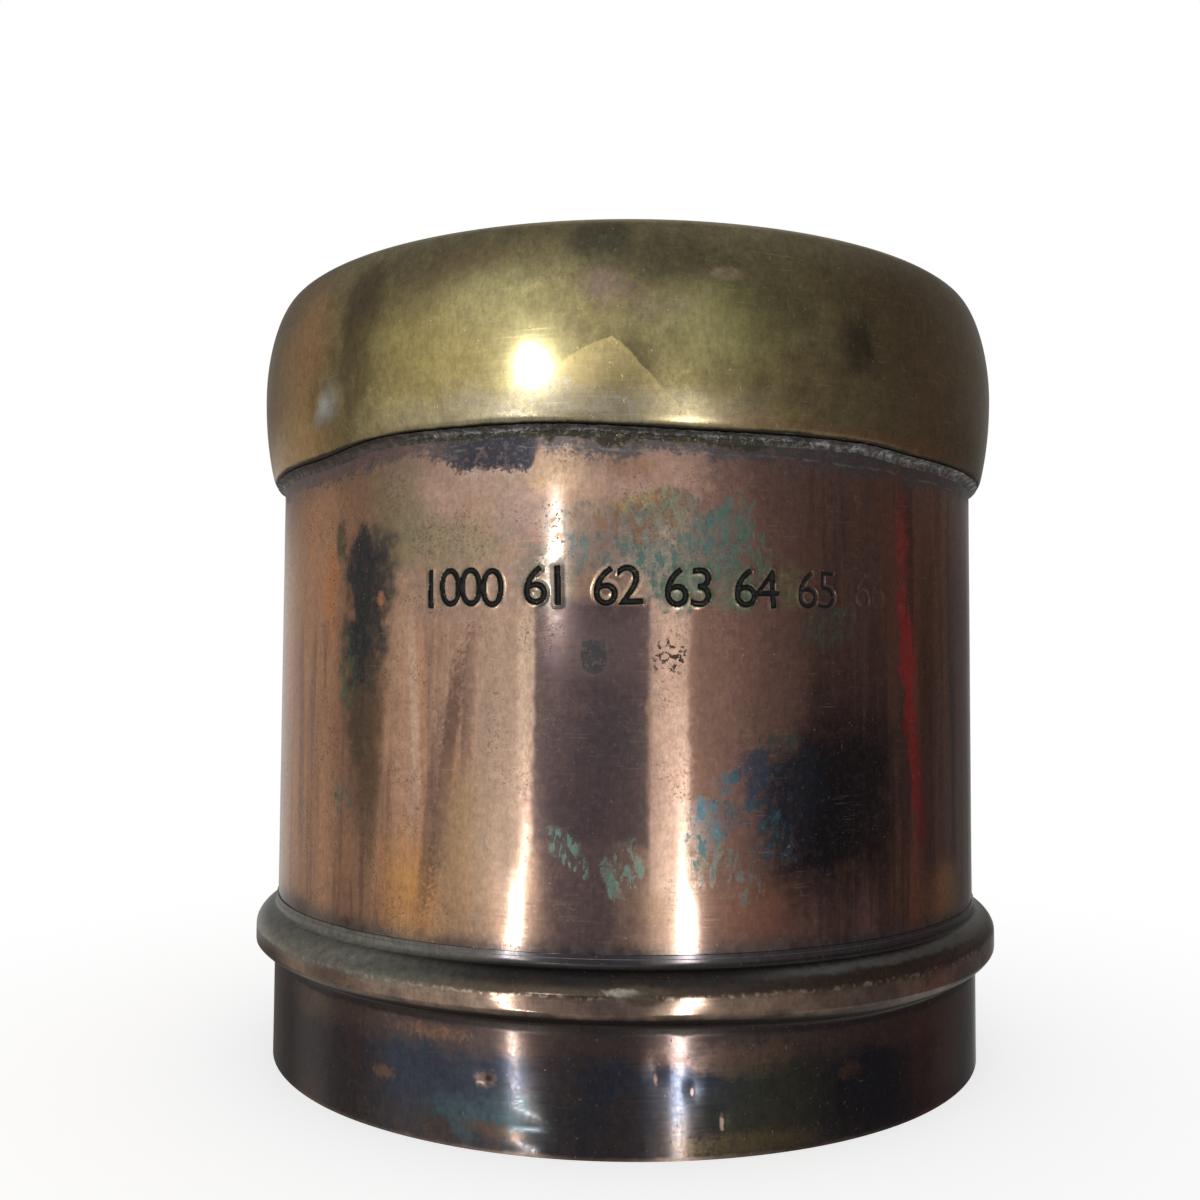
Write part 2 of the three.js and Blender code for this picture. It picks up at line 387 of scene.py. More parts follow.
        round_lines = drawn(0.05, 1.6, 0, 2.2)
        leaning = drawn(0.07, 1.4, 0.42, 2.6)
        crossing = drawn(0.08, 1.2, -1.05, 2.4)
        lines = bench.between(0.45, round_lines, leaning)
        height = bench.between(bench.times(into["Crossing"], 0.6), lines, crossing)
        breaks = bench.step(bench.noise(into["Unrolled"], 0.13, 1), 0.48, 0.6)
        hairs = bench.math(Op.MAXIMUM, *(bench.step(line, 0.66, 0.72) for line in (leaning, crossing)))
        bench.feed(out.inputs["Height"], height)
        bench.feed(out.inputs["Hairlines"], bench.times(hairs, breaks))
        return bench.tree


@dataclass(frozen=True)
class Stain:
    """One patch of tarnish, verdigris or bare metal, or of painted reflection or highlight, and what it does
    to the surface.
    """

    around: float
    up: float
    half_width: float
    half_height: float
    color: Color
    rough: float = 0.4
    metallic: float = 0.9
    soft: float = 0.3
    ragged: float = 2.0
    square: float = 0.0
    flecked: float = 0.0
    share: float = 1.0
    torn: float = 0.0
    lean: float = 0.0


@dataclass(frozen=True)
class Rise:
    """An edge that runs higher than level for a stretch, fading out round the cup, below it and above it."""

    up: float
    below: float
    above: float
    height: float
    stretch: tuple[float, float, float, float]

    def at(self, around: float, up: float) -> float:
        """How far a point is lifted.

        Args:
            around: The point's angle.
            up: Its height.

        Returns:
            The lift in millimetres.
        """
        start, full, last, end = self.stretch
        if not start < around < end:
            return 0.0
        share = min(1.0, (around - start) / (full - start), (end - around) / (end - last))
        fade = 1 - (self.up - up) / self.below if up < self.up else 1 - (up - self.up) / self.above
        return self.height * share * share * (3 - 2 * share) * max(0.0, fade)


MOUTH_RISES = (
    Rise(90.6, 60.0, 13.0, 1.0, (-50.0, -34.0, -14.0, 12.0)),
    Rise(90.6, 60.0, 13.0, 0.6, (-47.0, -30.0, 32.0, 44.0)),
)
FOOT_RISES = (Rise(15.2, 15.2, 6.0, 1.0, (-80.0, -58.0, 4.0, 36.0)),)


@dataclass
class Coat:
    """The colour, roughness and metallic value of a finish while stains are laid on it."""

    bench: Bench
    effects: Effects
    color: Feed
    rough: Feed
    metallic: Feed
    around: Feed
    up: Feed
    out: Feed
    unrolled: Feed
    place: Feed
    ragged: Feed
    frayed: Feed
    flecks: Feed
    tears: Feed

    def level(self, rises: Iterable[Rise]) -> Socket:
        """The height as it would be if the edges ran level.

        Args:
            rises: Where the edges run higher.

        Returns:
            The height.
        """
        up = self.up
        for rise in rises:
            start, full, last, end = rise.stretch
            window = self.bench.window(self.around, start, full, end, last)
            fade = self.bench.scaled(self.bench.less(self.up, rise.up), -1 / rise.above, 1, clamp=True)
            up = self.bench.scaled(self.bench.times(window, fade), -rise.height, up)
        return up

    def side(self, start: float, end: float, share: float = 1.0, back: float = 172.0) -> Socket:
        """A mask that rises from one angle to another and fades again towards the back.

        Args:
            start: Where it is 0.
            end: Where it is whole; farther left or right than the start.
            share: How much of it is kept.
            back: How far round either side it is gone again.

        Returns:
            The mask.
        """
        away = self.bench.step(self.bench.math(Op.ABSOLUTE, self.around), back, back - 60, 0, share)
        return self.bench.times(self.bench.step(self.around, start, end), away)

    def lay(self, mask: Feed | tuple[Feed, ...], color: Feed, rough: Feed | None = None,
            metallic: Feed | None = None) -> None:
        """Lays a colour, and where given a roughness and a metallic value.

        Args:
            mask: Where it goes: a mask, or a row of masks and shares to multiply.
            color: The colour.
            rough: The roughness, or None to keep it.
            metallic: The metallic value, or None to keep it.
        """
        share = self.bench.times(*mask) if isinstance(mask, tuple) else mask
        self.color = self.bench.mix(share, self.color, color)
        if rough is not None:
            self.rough = self.bench.between(share, self.rough, rough)
        if metallic is not None:
            self.metallic = self.bench.between(share, self.metallic, metallic)

    def specks(self, size: float, amount: float) -> bpy.types.NodeOutputs:
        """Flecks of a size in millimetres: a Mask with sharp edges, and a Soft value."""
        return self.bench.group(self.effects.specks, Place=self.place, Size_mm=size, Amount=amount).outputs

    def clouds(self, size: float, fine: float, contrast: float) -> Socket:
        """Clouds of tarnish of a size in millimetres, with a share of fine ones."""
        feeds = {"Size_mm": size, "Fine_share": fine, "Contrast": contrast}
        return self.bench.group(self.effects.clouds, Place=self.place, **feeds).outputs["Cloud"]

    def patch(self, stain: Stain) -> Socket:
        """The mask of one stain, with metal showing through its flecks.

        Args:
            stain: The stain.

        Returns:
            Its mask.
        """
        small = min(stain.half_width, stain.half_height)
        ragged = self.frayed if small < SMALL_STAIN else self.ragged
        node = self.bench.group(
            self.effects.stain, Around=self.around, Up=self.up, Ragged_noise=ragged,
            At_around=stain.around, At_up=stain.up,
            Half_width=stain.half_width, Half_height=stain.half_height, Squareness=stain.square,
            Softness=stain.soft, Raggedness=stain.ragged / small, Lean=stain.lean,
        )
        masks = [node.outputs["Mask"]]
        if stain.torn:
            masks.append(self.bench.scaled(self.tears, stain.torn, 1 - stain.torn))
        if stain.flecked:
            masks.append(self.bench.scaled(self.flecks, -stain.flecked, 1, clamp=True))
        return self.bench.times(*masks, stain.share)

    def stains(self, rows: Iterable[Row]) -> None:
        """Lays stains, given as rows of their values, each over the one before.

        Args:
            rows: The stains' values.
        """
        for row in rows:
            stain = Stain(*row)
            self.lay(self.patch(stain), stain.color, stain.rough, stain.metallic)

    def band(self, low: float, high: float, soft: float, ragged: float, level: Feed | None = None) -> Socket:
        """A mask that is 1 between two heights, with wavy edges.

        Args:
            low: The lower height.
            high: The upper height.
            soft: How far each edge fades, either way.
            ragged: How far the edges wander.
            level: The height to read, or None for the plain one.

        Returns:
            The mask.
        """
        level = self.bench.scaled(self.ragged, ragged, self.up if level is None else level)
        fall = self.bench.step(level, high - soft, high + soft, 1, 0)
        return self.bench.times(self.bench.step(level, low - soft, low + soft), fall)


@dataclass(frozen=True)
class MetalFinish:
    """A worked metal sheet: what its finishes share. The finishes of the pieces extend it."""

    name: str
    effects: Effects
    base: Color
    rough: float = 0.24
    metallic: float = 0.97
    line_depth: float = 0.004
    mottle: float = 2.0
    worn: float = 0.16
    flat: bool = False

    def dress(self, coat: Coat) -> Feed | None:
        """Lays the finish's own colours on a coat, and returns more height in millimetres, or None."""
        return None

    def make(self) -> Material:
        """Builds the material.

        Returns:
            A material on the pieces' Object coordinates.
        """
        material = bpy.data.materials.new(self.name)
        bench = emptied(material)
        place = bench.put("ShaderNodeTexCoord").outputs["Object"]
        spread = bench.group(self.effects.around, Place=place).outputs
        feeds = {"Vector": place, "Scale": 1 / METRE}
        in_mm = bench.put("ShaderNodeVectorMath", feeds, operation="SCALE").outputs[0]
        unrolled = in_mm if self.flat else spread["Unrolled place"]
        swell = bench.less(bench.noise(in_mm, 0.11, 2, 0.5), 0.5)
        ripple = bench.less(bench.noise(in_mm, 0.5, 5, 0.3), 0.5)
        ragged = bench.scaled(swell, 1.3, ripple)
        frayed = bench.less(bench.noise(in_mm, 1.9, 4, 0.3, 0.6), 0.5)
        flecks = bench.group(self.effects.specks, Place=in_mm, Size_mm=0.9, Amount=0.42).outputs["Mask"]
        leaning = bench.stretched(unrolled, (1.5, 0.62, 1), -0.35)
        tears = bench.step(bench.noise(leaning, 0.62, 7, 0.1, 0.68), 0.5, 0.535)
        lines = bench.group(self.effects.scratches, Place=in_mm, Unrolled=unrolled).outputs
        coat = Coat(
            bench, self.effects, self.base, self.rough, self.metallic, spread["Around"], spread["Up"],
            spread["Out"], unrolled, in_mm, ragged, frayed, flecks, tears,
        )
        extra = self.dress(coat)
        fine = bench.noise(in_mm, 0.9, 7, 0.1, 0.78)
        brushed = bench.noise(bench.stretched(unrolled, (1, 0.36, 1)), 2.1, 6, 0.1, 0.75)
        grain = bench.less(bench.between(0.45, fine, brushed), 0.5)
        shade = bench.scaled(grain, self.mottle, 1)
        coat.color = bench.mix(1, coat.color, bench.vector(shade, shade, shade), Blend.MULTIPLY)
        coat.rough = bench.scaled(grain, -0.12, coat.rough)
        coat.color = bench.mix(bench.times(lines["Hairlines"], self.worn), coat.color, (0.8, 0.66, 0.55))
        coat.rough = bench.less(bench.scaled(lines["Height"], 0.14, coat.rough), 0.07)
        height = bench.times(lines["Height"], self.line_depth)
        height = bench.scaled(lines["Hairlines"], -0.6 * self.line_depth, height)
        if extra is not None:
            height = bench.math(Op.ADD, height, extra)
        bump = bench.put("ShaderNodeBump", {"Height": height, "Distance": METRE, "Strength": 1})
        shader = bench.put("ShaderNodeBsdfPrincipled", {
            "Base Color": coat.color, "Metallic": coat.metallic, "Roughness": coat.rough,
            "Normal": bump.outputs[0],
        })
        bench.put("ShaderNodeOutputMaterial", {"Surface": shader.outputs[0]})
        return material


# The stains, with some painted reflections and highlights among them


# Each row is a Stain: around, up, half_width, half_height, color, rough, metallic, soft, ragged, square,
# flecked, share, torn and lean.
TEAL = (0.12, 0.21, 0.19)
BLUE = (0.055, 0.115, 0.15)
SOOT = (0.022, 0.022, 0.027)

# The wall's large soft tints, and the dark patch in front with its crisp sides, a painted dark reflection,
# with painted bright reflections beside it
STREAK_BROWN = (0.17, 0.105, 0.085)
WALL_TINTS_AND_PAINTED_REFLECTIONS: tuple[Row, ...] = (
    (-29, 31, 5.5, 7, (0.66, 0.34, 0.12), 0.2, 0.95, 0.75, 1.2, 0.3, 0, 0.8),
    (-38.4, 57, 3.6, 16, (0.12, 0.095, 0.065), 0.26, 0.92, 0.45, 3, 0.5, 0.1, 0.85),
    (-36, 47, 1.2, 14, (0.2, 0.13, 0.08), 0.22, 0.94, 0.6, 1.2, 0.5, 0, 0.6, 0, 0.08),
    (-23.8, 47, 1.1, 15, STREAK_BROWN, 0.2, 0.94, 0.35, 1.6, 0.6, 0.1, 0.85, 0, 0.13),
    (-26.2, 41, 0.9, 12, STREAK_BROWN, 0.2, 0.94, 0.5, 1.4, 0.5, 0, 0.6, 0, 0.1),
    (-20.4, 57, 0.9, 10, (0.22, 0.13, 0.1), 0.2, 0.95, 0.5, 1.4, 0.5, 0, 0.75, 0, 0.05),
    (-22.4, 38, 1.6, 8, (0.26, 0.17, 0.12), 0.2, 0.95, 0.6, 2, 0.5, 0, 0.7, 0, 0.08),
    (-28.8, 55, 0.7, 12, (0.72, 0.5, 0.36), 0.18, 0.96, 0.5, 1, 0.6, 0, 0.7, 0, -0.06),
    (-20, 37, 4, 11, (0.5, 0.33, 0.19), 0.18, 0.96, 0.7, 1.4, 0.4, 0, 0.75),
    (-16.4, 50, 3.4, 22, (0.46, 0.33, 0.25), 0.2, 0.96, 0.5, 1.4, 0.6, 0, 0.75),
    # A painted highlight: a pale upright line along the left side of the painted dark reflection
    (-12.5, 57, 1.2, 11, (0.64, 0.47, 0.35), 0.2, 0.96, 0.4, 0.8, 0.8, 0, 0.8),
    (-27, 84, 7, 4, (0.62, 0.42, 0.34), 0.26, 0.94, 0.6, 4, 0.1, 0.2, 0.8),
    (-33, 81, 5, 7, (0.3, 0.25, 0.14), 0.3, 0.9, 0.6, 4, 0.4, 0.2, 0.75),
    (-24, 77, 9, 4, (0.34, 0.29, 0.19), 0.3, 0.9, 0.6, 5, 0.4, 0.4, 0.75),
    (-21, 71, 12, 3.4, (0.42, 0.29, 0.23), 0.28, 0.92, 0.6, 4, 0.4, 0.3, 0.6),
    (-14, 82, 4, 4, (0.44, 0.32, 0.28), 0.28, 0.92, 0.6, 4, 0.1, 0.3, 0.6),
    (-46.4, 73, 1.9, 6, (0.68, 0.32, 0.15), 0.24, 0.95, 0.2, 2.6, 0.3, 0, 0.9),
    (-52, 80, 1.8, 5.5, (0.68, 0.34, 0.17), 0.24, 0.95, 0.4, 2.2, 0.3, 0, 0.7),
    (-43.8, 79, 1.5, 3.4, (0.07, 0.09, 0.05), 0.3, 0.85, 0.4, 2.6, 0.2, 0.2, 0.8),
    (-37.4, 70.5, 4.6, 9.5, (0.055, 0.057, 0.062), 0.24, 0.85, 0.45, 5, 0.7, 0.15, 0.92),
    (-39.4, 72, 2.2, 9, (0.04, 0.05, 0.058), 0.3, 0.85, 0.1, 5, 0.6, 0.1, 0.85, 0.5),
    (-35, 70, 0.7, 1.2, (0.6, 0.27, 0.14), 0.3, 0.9, 0.3, 1.2, 0, 0.3, 0.9, 0.6),
    (-42, 60, 1.6, 6, (0.1, 0.15, 0.08), 0.4, 0.7, 0.25, 2.4, 0, 0.2, 0.85, 0.9),
    (-43, 43, 3, 2.8, (0.1, 0.17, 0.14), 0.4, 0.7, 0.3, 2, 0, 0.4, 0.8, 0.9),
    # A painted reflection: a pale tan band with crisp sides, right of the painted dark reflection
    (5.7, 51, 2.5, 19, (0.7, 0.48, 0.38), 0.2, 0.96, 0.14, 0.9, 0.9, 0.1, 0.75),
    (2.2, 75.4, 3, 5, (0.68, 0.5, 0.4), 0.2, 0.94, 0.6, 2.4, 0, 0, 0.6),
    # A painted dark reflection: the dark patch with crisp sides, and its narrower lower part below it
    (-4.2, 54, 7.3, 15.5, (0.16, 0.12, 0.125), 0.17, 0.94, 0.05, 1.2, 0.97, 0.2, 0.85),
    (-5.6, 35.4, 4.4, 12, (0.17, 0.125, 0.125), 0.17, 0.94, 0.3, 2.2, 0.8, 0.2, 0.8),
    (-1.5, 38.5, 2.5, 4, (0.22, 0.155, 0.14), 0.18, 0.94, 0.6, 3, 0.4, 0.3, 0.7),
    (-3.4, 63, 6.2, 4.4, (0.25, 0.18, 0.17), 0.24, 0.92, 0.5, 3.4, 0.3, 0.5, 0.6),
    (-2, 53, 5.2, 6, (0.08, 0.07, 0.08), 0.3, 0.88, 0.5, 4.4, 0.2, 0.6, 0.55),
    (2, 85.2, 10, 3.4, (0.6, 0.38, 0.29), 0.28, 0.94, 0.35, 5, 0.3, 0.2, 0.8),
    (-8, 86, 5, 2.4, (0.62, 0.43, 0.27), 0.34, 0.93, 0.4, 2.6, 0.2, 0.15, 0.85),
    (1, 86.6, 3, 1.2, (0.5, 0.28, 0.16), 0.3, 0.93, 0.4, 3, 0.1, 0.3, 0.8),
    (2, 81.8, 4, 1.8, (0.4, 0.34, 0.16), 0.34, 0.88, 0.3, 3.4, 0, 0.4, 0.75),
    (33, 60, 9, 26, (0.14, 0.085, 0.07), 0.2, 0.94, 0.6, 3, 0.5, 0, 0.5),
    (53, 28.5, 6, 4.4, (0.62, 0.32, 0.15), 0.24, 0.95, 0.6, 1.8, 0.3, 0, 0.85),
    (17.5, 30.5, 5, 4, (0.42, 0.19, 0.12), 0.24, 0.94, 0.6, 4, 0.2, 0.4, 0.7),
    (41.8, 80, 1.6, 8, (0.6, 0.1, 0.095), 0.24, 0.96, 0.5, 2.6, 0.4, 0, 0.8, 0.3),
    (43, 62, 1.5, 9, (0.66, 0.09, 0.09), 0.2, 0.96, 0.45, 2.4, 0.4, 0, 0.85, 0, -0.1),
    (45, 46, 1.7, 9, (0.5, 0.085, 0.08), 0.2, 0.96, 0.4, 1.6, 0.3, 0, 0.9, 0, -0.16),
    (50, 72, 4, 15, (0.32, 0.15, 0.08), 0.24, 0.94, 0.6, 2.4, 0.5, 0, 0.6),
    (48, 50, 2.6, 26, (0.085, 0.06, 0.055), 0.22, 0.94, 0.6, 1.4, 0.5, 0, 0.6),
)
# Its sharp-edged blue and green patches, and the small dashes
GREEN = (0.12, 0.2, 0.135)
DASH = (0.15, 0.27, 0.22)
VERDIGRIS_AND_PAINTED_HIGHLIGHT: tuple[Row, ...] = (
    (-3.6, 77, 6.4, 5.4, (0.16, 0.19, 0.2), 0.2, 0.84, 0.2, 7, 0.3, 0.5, 0.75, 0.6),
    (-4.6, 77.6, 5, 4.6, TEAL, 0.34, 0.8, 0.1, 7, 0.2, 0.35, 0.5, 0.9),
    (-9.4, 73, 4.2, 3.6, (0.2, 0.21, 0.17), 0.17, 0.9, 0.3, 6, 0.3, 0.5, 0.6),
    # Smooth polished spots under the strip lights' highlights; the first is paler than the grey and green
    # round it, partly a painted highlight
    (-8.9, 76.4, 1.2, 7.5, (0.5, 0.42, 0.36), 0.1, 0.95, 0.6, 0.7, 0.3, 0, 0.75),
    (-13.8, 33, 2, 9, (0.46, 0.33, 0.25), 0.08, 0.96, 0.6, 0.7, 0.5, 0, 0.75),
    (7.8, 33, 2.2, 9, (0.6, 0.43, 0.34), 0.08, 0.96, 0.6, 0.7, 0.5, 0, 0.7),
    (7, 76.4, 7.4, 5.6, (0.17, 0.22, 0.19), 0.34, 0.8, 0.3, 7, 0.3, 0.3, 0.6),
    (7.6, 76.8, 7, 5.8, TEAL, 0.36, 0.78, 0.08, 7, 0.2, 0.4, 0.9, 0.85),
    (2, 80.2, 8, 2.4, (0.45, 0.19, 0.085), 0.3, 0.92, 0.2, 6, 0.3, 0.3, 0.6, 1),
    (12, 72, 6, 3, GREEN, 0.4, 0.76, 0.08, 5, 0.3, 0.45, 0.85, 0.5),
    (13.4, 78.4, 3.4, 4.8, TEAL, 0.4, 0.76, 0.2, 7, 0.2, 0.3, 0.85, 0.95),
    (16.5, 75, 2.2, 3.6, GREEN, 0.4, 0.76, 0.2, 6, 0.1, 0.3, 0.8, 0.95),
    (21.8, 71, 1.8, 2.7, (0.2, 0.21, 0.1), 0.4, 0.8, 0.3, 3, 0.5, 0.4, 0.7, 0.4),
    (28.5, 66.6, 4.4, 2.2, (0.085, 0.12, 0.085), 0.4, 0.8, 0.3, 4, 0.4, 0.4, 0.75, 0.7),
    (31, 44.5, 9, 12, SOOT, 0.18, 0.92, 0.6, 6, 0.2, 0.2, 0.9),
    (25, 39, 7, 8, SOOT, 0.18, 0.92, 0.7, 6, 0.2, 0.4, 0.8),
    (21, 45, 4.6, 5, (0.032, 0.042, 0.06), 0.2, 0.9, 0.5, 6, 0.3, 0.4, 0.85),
    (16.4, 46.6, 2.6, 4.2, (0.05, 0.085, 0.14), 0.28, 0.86, 0.3, 6, 0.3, 0.3, 0.9, 0.2),
    (14, 42.4, 4.6, 3.2, BLUE, 0.34, 0.78, 0.2, 7, 0.1, 0.3, 0.95, 0.6),
    (10.2, 41, 2.4, 3.2, (0.12, 0.23, 0.27), 0.36, 0.76, 0.2, 5, 0.1, 0.3, 0.95, 0.8),
    (13.2, 46.4, 2, 2.2, (0.08, 0.16, 0.2), 0.36, 0.76, 0.2, 4, 0.1, 0.3, 0.9, 0.8),
    (18.6, 38.6, 3.2, 2.6, (0.06, 0.1, 0.13), 0.34, 0.8, 0.3, 6, 0.1, 0.3, 0.8, 0.8),
    (20, 51.6, 3.4, 1.3, (0.06, 0.09, 0.07), 0.36, 0.8, 0.3, 2.4, 0.2, 0.4, 0.8, 0.8),
    (-7.2, 38.8, 2.2, 2.6, DASH, 0.42, 0.66, 0.3, 2.4, 0.2, 0.3, 0.95, 0.85, -0.5),
    (-5.6, 36, 1.6, 1.6, DASH, 0.42, 0.66, 0.3, 2.4, 0.2, 0.3, 0.9, 0.95, -0.5),
    (0.4, 36.6, 2, 3, DASH, 0.42, 0.66, 0.3, 3, 0.2, 0.3, 0.85, 0.95, -0.4),
    (-1.6, 34.4, 0.9, 2.4, DASH, 0.42, 0.66, 0.3, 1.8, 0.3, 0.3, 0.95, 0.4, -0.35),
    (11.6, 36.4, 3.2, 3.2, (0.13, 0.21, 0.19), 0.42, 0.68, 0.3, 5, 0.1, 0.3, 0.85, 1),
    (15.4, 33.4, 3, 2, (0.13, 0.21, 0.19), 0.42, 0.68, 0.3, 4, 0.1, 0.3, 0.8, 1),
)
# The mouth band's darker and paler blotches, a polished spot under the flash, and a painted glint at its dent
BLOTCHES_AND_PAINTED_GLINTS: tuple[Row, ...] = (
    (-49, 108, 5, 6, (0.44, 0.25, 0.12), 0.3, 0.94, 0.6, 3.4, 0.3, 0, 0.6),
    (-36.6, 106.5, 3, 9, (0.12, 0.095, 0.06), 0.28, 0.92, 0.5, 4, 0.6, 0, 0.85),
    (-33, 100.5, 5, 2.6, (0.16, 0.12, 0.07), 0.28, 0.92, 0.7, 4, 0.2, 0, 0.6),
    (-21, 113.5, 6, 2.6, (0.2, 0.14, 0.08), 0.28, 0.92, 0.6, 4, 0.2, 0, 0.65),
    (-40, 99, 3.4, 4.5, (0.24, 0.19, 0.09), 0.28, 0.92, 0.7, 1.8, 0.3, 0, 0.5),
    # A smooth spot under the flash, paler than the brass round it: polished, and partly a painted highlight
    (-10.8, 99.8, 4.2, 5.4, (0.56, 0.49, 0.25), 0.14, 0.97, 0.8, 1, 0, 0, 0.75),
    (-27, 103, 8, 6, (0.62, 0.5, 0.19), 0.22, 0.97, 0.8, 3, 0, 0, 0.55),
    (-17, 108.5, 7, 4, (0.58, 0.52, 0.25), 0.24, 0.96, 0.8, 3.4, 0, 0, 0.5),
    (-30, 111, 6, 4, (0.15, 0.12, 0.075), 0.28, 0.92, 0.8, 3.4, 0.2, 0, 0.55),
    (6.5, 112.6, 9, 3.4, (0.115, 0.1, 0.055), 0.34, 0.9, 0.6, 3.6, 0.1, 0.3, 0.8),
    (-3, 115.6, 4, 3, (0.1, 0.095, 0.06), 0.34, 0.9, 0.5, 2.6, 0.1, 0.25, 0.8),
    (-2.5, 109, 2.6, 2, (0.34, 0.23, 0.21), 0.32, 0.92, 0.7, 2.6, 0, 0.5, 0.7),
    (5, 106, 4, 1.8, (0.26, 0.19, 0.17), 0.32, 0.92, 0.7, 2.6, 0, 0.5, 0.45),
    (12.5, 111, 2.2, 0.9, (0.6, 0.44, 0.3), 0.3, 0.95, 0.4, 1.4, 0, 0.5, 0.5),
    (11, 104, 6.5, 4.6, (0.5, 0.48, 0.2), 0.24, 0.96, 0.8, 3.4, 0, 0, 0.55),
    (17.5, 108, 5, 4.4, (0.135, 0.13, 0.06), 0.32, 0.9, 0.7, 3.4, 0, 0, 0.65),
    (30.5, 104, 2.8, 3.6, (0.05, 0.047, 0.04), 0.28, 0.92, 0.6, 2.4, 0.2, 0.1, 0.75),
    (-43.6, 98.2, 2.6, 2.7, (0.34, 0.32, 0.21), 0.26, 0.95, 0.5, 1, 0, 0, 0.8),
    # A painted glint: the whitish spot at the lower left of the dent
    (-45.2, 97.4, 1.5, 1.9, (0.6, 0.6, 0.58), 0.32, 0.97, 0.8, 0.9, 0, 0, 0.75, 0, 0.5),
)
# The skirt's blue, olive and brown patches, and its rubbed knocks
COLD_BLUE = (0.045, 0.062, 0.095)
SKIRT_BROWN = (0.17, 0.105, 0.08)
BARE = (0.42, 0.3, 0.25)
SKIRT: tuple[Row, ...] = (
    (-23, 9, 11, 5.5, COLD_BLUE, 0.14, 0.94, 0.6, 5, 0.2, 0.1, 0.8),
    (-19, 4.4, 6.5, 2.4, (0.07, 0.115, 0.135), 0.13, 0.92, 0.5, 5, 0.2, 0.3, 0.75),
    (-11, 5.4, 4, 2.6, (0.06, 0.075, 0.075), 0.12, 0.94, 0.7, 5, 0.2, 0.3, 0.5),
    (8, 9.5, 10, 4.5, COLD_BLUE, 0.14, 0.94, 0.6, 5, 0.2, 0.1, 0.7),
    (14, 12, 6, 2.2, (0.21, 0.135, 0.1), 0.2, 0.94, 0.4, 4, 0.1, 0.3, 0.75),
    (5, 12.6, 2.4, 1.2, SKIRT_BROWN, 0.22, 0.94, 0.4, 3, 0.1, 0.3, 0.5),
    (20, 6, 9, 5, (0.065, 0.07, 0.042), 0.18, 0.92, 0.7, 5, 0.2, 0.1, 0.75),
    (17, 1.6, 8, 1.4, (0.15, 0.115, 0.055), 0.24, 0.92, 0.6, 3, 0.2, 0.4, 0.7),
    (34, 6, 8, 6, (0.03, 0.03, 0.038), 0.14, 0.94, 0.6, 4, 0.4, 0, 0.85),
    (30.6, 9, 1.6, 1, (0.16, 0.09, 0.06), 0.22, 0.94, 0.6, 2.4, 0, 0.3, 0.6),
    (54, 8, 6, 7, (0.17, 0.115, 0.095), 0.24, 0.94, 0.5, 3, 0.5, 0, 0.7),
    (-46, 7, 9, 6, (0.055, 0.047, 0.052), 0.2, 0.92, 0.7, 3, 0.4, 0, 0.8),
    (-33, 7.6, 1.7, 0.9, (0.24, 0.13, 0.08), 0.26, 0.92, 0.4, 2.4, 0, 0.3, 0.6),
    # A smooth, paler spot under the left lamp's highlight on the skirt: rubbed metal, and partly a painted
    # highlight
    (-14, 13.4, 1.9, 1.2, (0.22, 0.17, 0.15), 0.12, 0.95, 0.6, 0.8, 0.2, 0, 0.8),
    (-17.4, 9, 1.3, 1, SKIRT_BROWN, 0.3, 0.92, 0.5, 2.4, 0, 0.4, 0.7),
    (-16.9, 9.1, 0.5, 0.4, (0.03, 0.026, 0.026), 0.3, 0.92, 0.4, 0.6, 0, 0, 0.9),
    (-17.9, 8.5, 0.5, 0.2, BARE, 0.26, 0.96, 0.6, 0.5, 0, 0, 0.8),
    (4.1, 10, 0.25, 0.6, (0.3, 0.18, 0.13), 0.28, 0.94, 0.5, 0.5, 0, 0, 0.7),
    (8.6, 8.4, 0.2, 0.4, BARE, 0.26, 0.96, 0.5, 0.4, 0, 0, 0.8),
    (12.4, 4.4, 0.25, 0.8, BARE, 0.26, 0.96, 0.5, 0.6, 0, 0, 0.85),
    (-15.8, 2.6, 3.4, 1.1, (0.11, 0.07, 0.052), 0.15, 0.94, 0.4, 3, 0, 0.5, 0.85, 0, -2),
    (-25, 14, 5, 0.8, (0.44, 0.22, 0.13), 0.24, 0.95, 0.5, 2.4, 0.1, 0.4, 0.75, 0.5),
)


# The finishes


